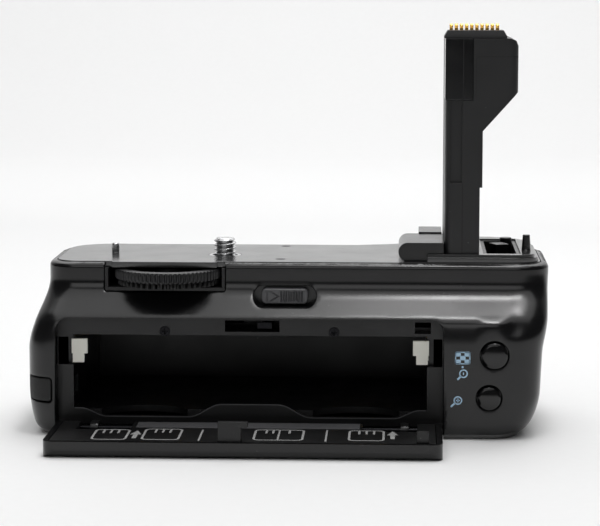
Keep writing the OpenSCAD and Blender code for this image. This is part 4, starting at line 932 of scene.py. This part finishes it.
# On the door: outlines of battery packs, the lines between them and two arrows
packs = cell(-31.8, -22.8, -53.4, -40.4, (-29.6, -27.6, -25.6))
packs += cell(-18.4, -8.6, -53.0, -39.2, (-15.6, -13.6, -11.6))
packs += cell(11.4, 24.4, -52.4, -39.0, (14.4, 16.2, 20.6))
packs += cell(36.8, 46.0, -52.0, -39.0, (39.4, 41.4, 43.4))
packs += [bar(17.6, 18.1, -52.2, -39.2), bar(-3.3, -2.8, -54.0, -39.6), bar(30.4, 30.9, -53.6, -38.6)]
packs += arrow(-20.6, -51.6, -41.6) + arrow(48.4, -49.6, -39.6)
bands("door_pictograms", on_door, packs, "door", "white_plastic", GREY_INK, -0.03, 0.05)


def on_frame(xz, t):
    """Front face of the bay's frame by X and Z."""
    return np.stack([xz[:, 0], FRAME_Y + t + 0.0 * xz[:, 0], xz[:, 1]], axis=1)


# Painted highlight along the edge of the frame's lower lip, with its dip for a finger at each pack, and
# painted light on the flat by the hinge
lip_x = np.linspace(-40.3, 57.5, 121)
off = np.abs(lip_x - BAY_X)
lip_z = 4.9 + 3.6 * (1.0 - ease((off - 8.0) / 9.0)) + 2.3 * ease((off - 40.0) / 7.0)
bands("bay_lip", on_frame, [stroke(np.stack([lip_x, lip_z - 0.16], axis=1), 0.28)], "grip", "inner_plastic",
      PAINTED_HIGHLIGHT, -0.02, 0.05)
bands("door_flat", on_door, [bar(-21.7, 39.4, -37.2, -29.7)], "door", "inner_plastic", PAINTED_HIGHLIGHT, -0.03, 0.05)


def on_tower(xz, t):
    """Rear face of the tower by X and Z."""
    return np.stack([xz[:, 0], TOWER_Y + t + 0.0 * xz[:, 0], xz[:, 1]], axis=1)


# Joints between the mouldings of the tower, drawn as narrow dark lines
bend = np.radians(np.linspace(180.0, 90.0, 7))
head = [(TOWER_X + 8.4, TOWER_TOP - 16.6)]
head += [(TOWER_X + 9.4 + math.cos(a), TOWER_TOP - 6.0 + math.sin(a)) for a in bend]
head += [(TOWER_X + 19.9, TOWER_TOP - 5.0)]
seams = [stroke(head, 0.25), stroke([(TOWER_X + 4.9, 49.7), (TOWER_X + 4.9, 69.3)], 0.35)]
bands("tower_seams", on_tower, seams, "grip", "inner_plastic", GEAR, -0.015, 0.1)
insert_line = [stroke([(TOWER_X + 4.9, TOWER_TOP - 16.8), (TOWER_X + 4.9, TOWER_TOP - 0.3)], 0.2)]
bands("insert_seam", lambda xz, t: on_tower(xz, t - 0.25), insert_line, "grip", "inner_plastic", MATT,
      -0.015, 0.1)

# Low screw heads in the top plate
screw_head = [(0.0, TOP_Z - 0.3), (1.5, TOP_Z - 0.3), (1.5, TOP_Z), (1.35, TOP_Z + 0.05), (0.0, TOP_Z + 0.09)]
for i, (x, y) in enumerate([(16.4, 20.7), (16.4, -10.0)]):
    name = f"plate_screw_{i}"
    piece(name, turned(name, screw_head, 40, place=(x, y, 0.0)), "grip", "dark_steel", DARK)


# Stage: pale floor that rises into the backdrop, soft lights and the camera of the photo


# The floor lies a hair below the part; its flat run ends behind the part in a bend up to the backdrop
FLOOR_Z = float(cad_box[0][2]) * 1000.0 - 0.02
FLOOR_RUN, FLOOR_BEND, FLOOR_REACH, BACKDROP_HIGH = 900.0, 260.0, 2600.0, 2200.0


def sweep_floor():
    """Floor that bends up into a wall behind: a profile of a flat run, a quarter circle and a straight
    rise, drawn out along X."""
    bend = np.linspace(0.0, np.pi / 2.0, 33)
    run = np.concatenate([[-FLOOR_REACH], FLOOR_RUN + FLOOR_BEND * np.sin(bend), [FLOOR_RUN + FLOOR_BEND]])
    rise = np.concatenate([[0.0], FLOOR_BEND * (1.0 - np.cos(bend)), [BACKDROP_HIGH]])
    x = np.repeat([-FLOOR_REACH, FLOOR_REACH], len(run))
    points = np.stack([x, np.tile(run, 2), np.tile(rise, 2) + FLOOR_Z], axis=1)
    n = len(run)
    faces = [(i, i + n, i + n + 1, i + 1) for i in range(n - 1)]
    mesh = bpy.data.meshes.new("floor")
    mesh.from_pydata((points * MM).tolist(), [], faces)
    mesh.shade_smooth()
    return mesh


floor_mat, floor_shader = new_material("seamless_paper")
floor_place = add(floor_mat, "ShaderNodeTexCoord").outputs["Object"]
fibres = noise(floor_mat, floor_place, per_mm(3.0), 4.0)
paper = blend(floor_mat, fibres, colour("#eeeeee"), colour("#f1f1f1"))
join(floor_mat, paper, floor_shader, "Base Color")
floor_shader.inputs["Roughness"].default_value = 0.75
floor = bpy.data.objects.new("floor", sweep_floor())
bpy.context.scene.collection.objects.link(floor)
floor.data.materials.append(floor_mat)


def soft_light(name, place, aim, size, power):
    """Rectangular soft box at a place, turned towards a point; lengths in millimetres, power in watts."""
    data = bpy.data.lights.new(name, "AREA")
    data.shape = "RECTANGLE"
    data.size, data.size_y = size[0] * MM, size[1] * MM
    data.energy = power
    obj = bpy.data.objects.new(name, data)
    obj.location = Vector(place) * MM
    obj.rotation_euler = (Vector(aim) - Vector(place)).to_track_quat("-Z", "Y").to_euler()
    bpy.context.scene.collection.objects.link(obj)


soft_light("key", (100.0, -110.0, 800.0), (70.0, 0.0, 20.0), (110.0, 160.0), 1.0)
soft_light("overhead", (125.0, 150.0, 760.0), (125.0, 150.0, 0.0), (230.0, 480.0), 1.25)
soft_light("ceiling", (0.0, 0.0, 1400.0), (0.0, 0.0, 0.0), (1800.0, 1800.0), 11.5)
soft_light("back_top", (0.0, 600.0, 800.0), (0.0, -150.0, 0.0), (1400.0, 400.0), 2.6)
soft_light("front_fill", (-150.0, -900.0, 620.0), (20.0, 0.0, 30.0), (900.0, 500.0), 1.7)
soft_light("backdrop_wash", (0.0, 380.0, 900.0), (0.0, 1160.0, 1000.0), (1600.0, 300.0), 9.5)

world = bpy.data.worlds.new("studio")
bpy.context.scene.world = world
world.use_nodes = True
world.node_tree.nodes.clear()
sky = add(world, "ShaderNodeBackground", {"Color": colour("#f4f5f6"), "Strength": 0.06})
add(world, "ShaderNodeOutputWorld", {"Surface": sky.outputs[0]})

CAMERA_PLACE, CAMERA_PITCH, CAMERA_YAW = (51.2, -640.3, 126.9), 7.28, 2.66
camera_data = bpy.data.cameras.new("camera")
camera_data.lens, camera_data.sensor_width = 135.5, 36.0
camera = bpy.data.objects.new("camera", camera_data)
camera.location = Vector(CAMERA_PLACE) * MM
camera.rotation_euler = (math.radians(90.0 - CAMERA_PITCH), 0.0, math.radians(CAMERA_YAW))
bpy.context.scene.collection.objects.link(camera)
bpy.context.scene.camera = camera
bpy.context.scene.view_settings.view_transform = "Standard"
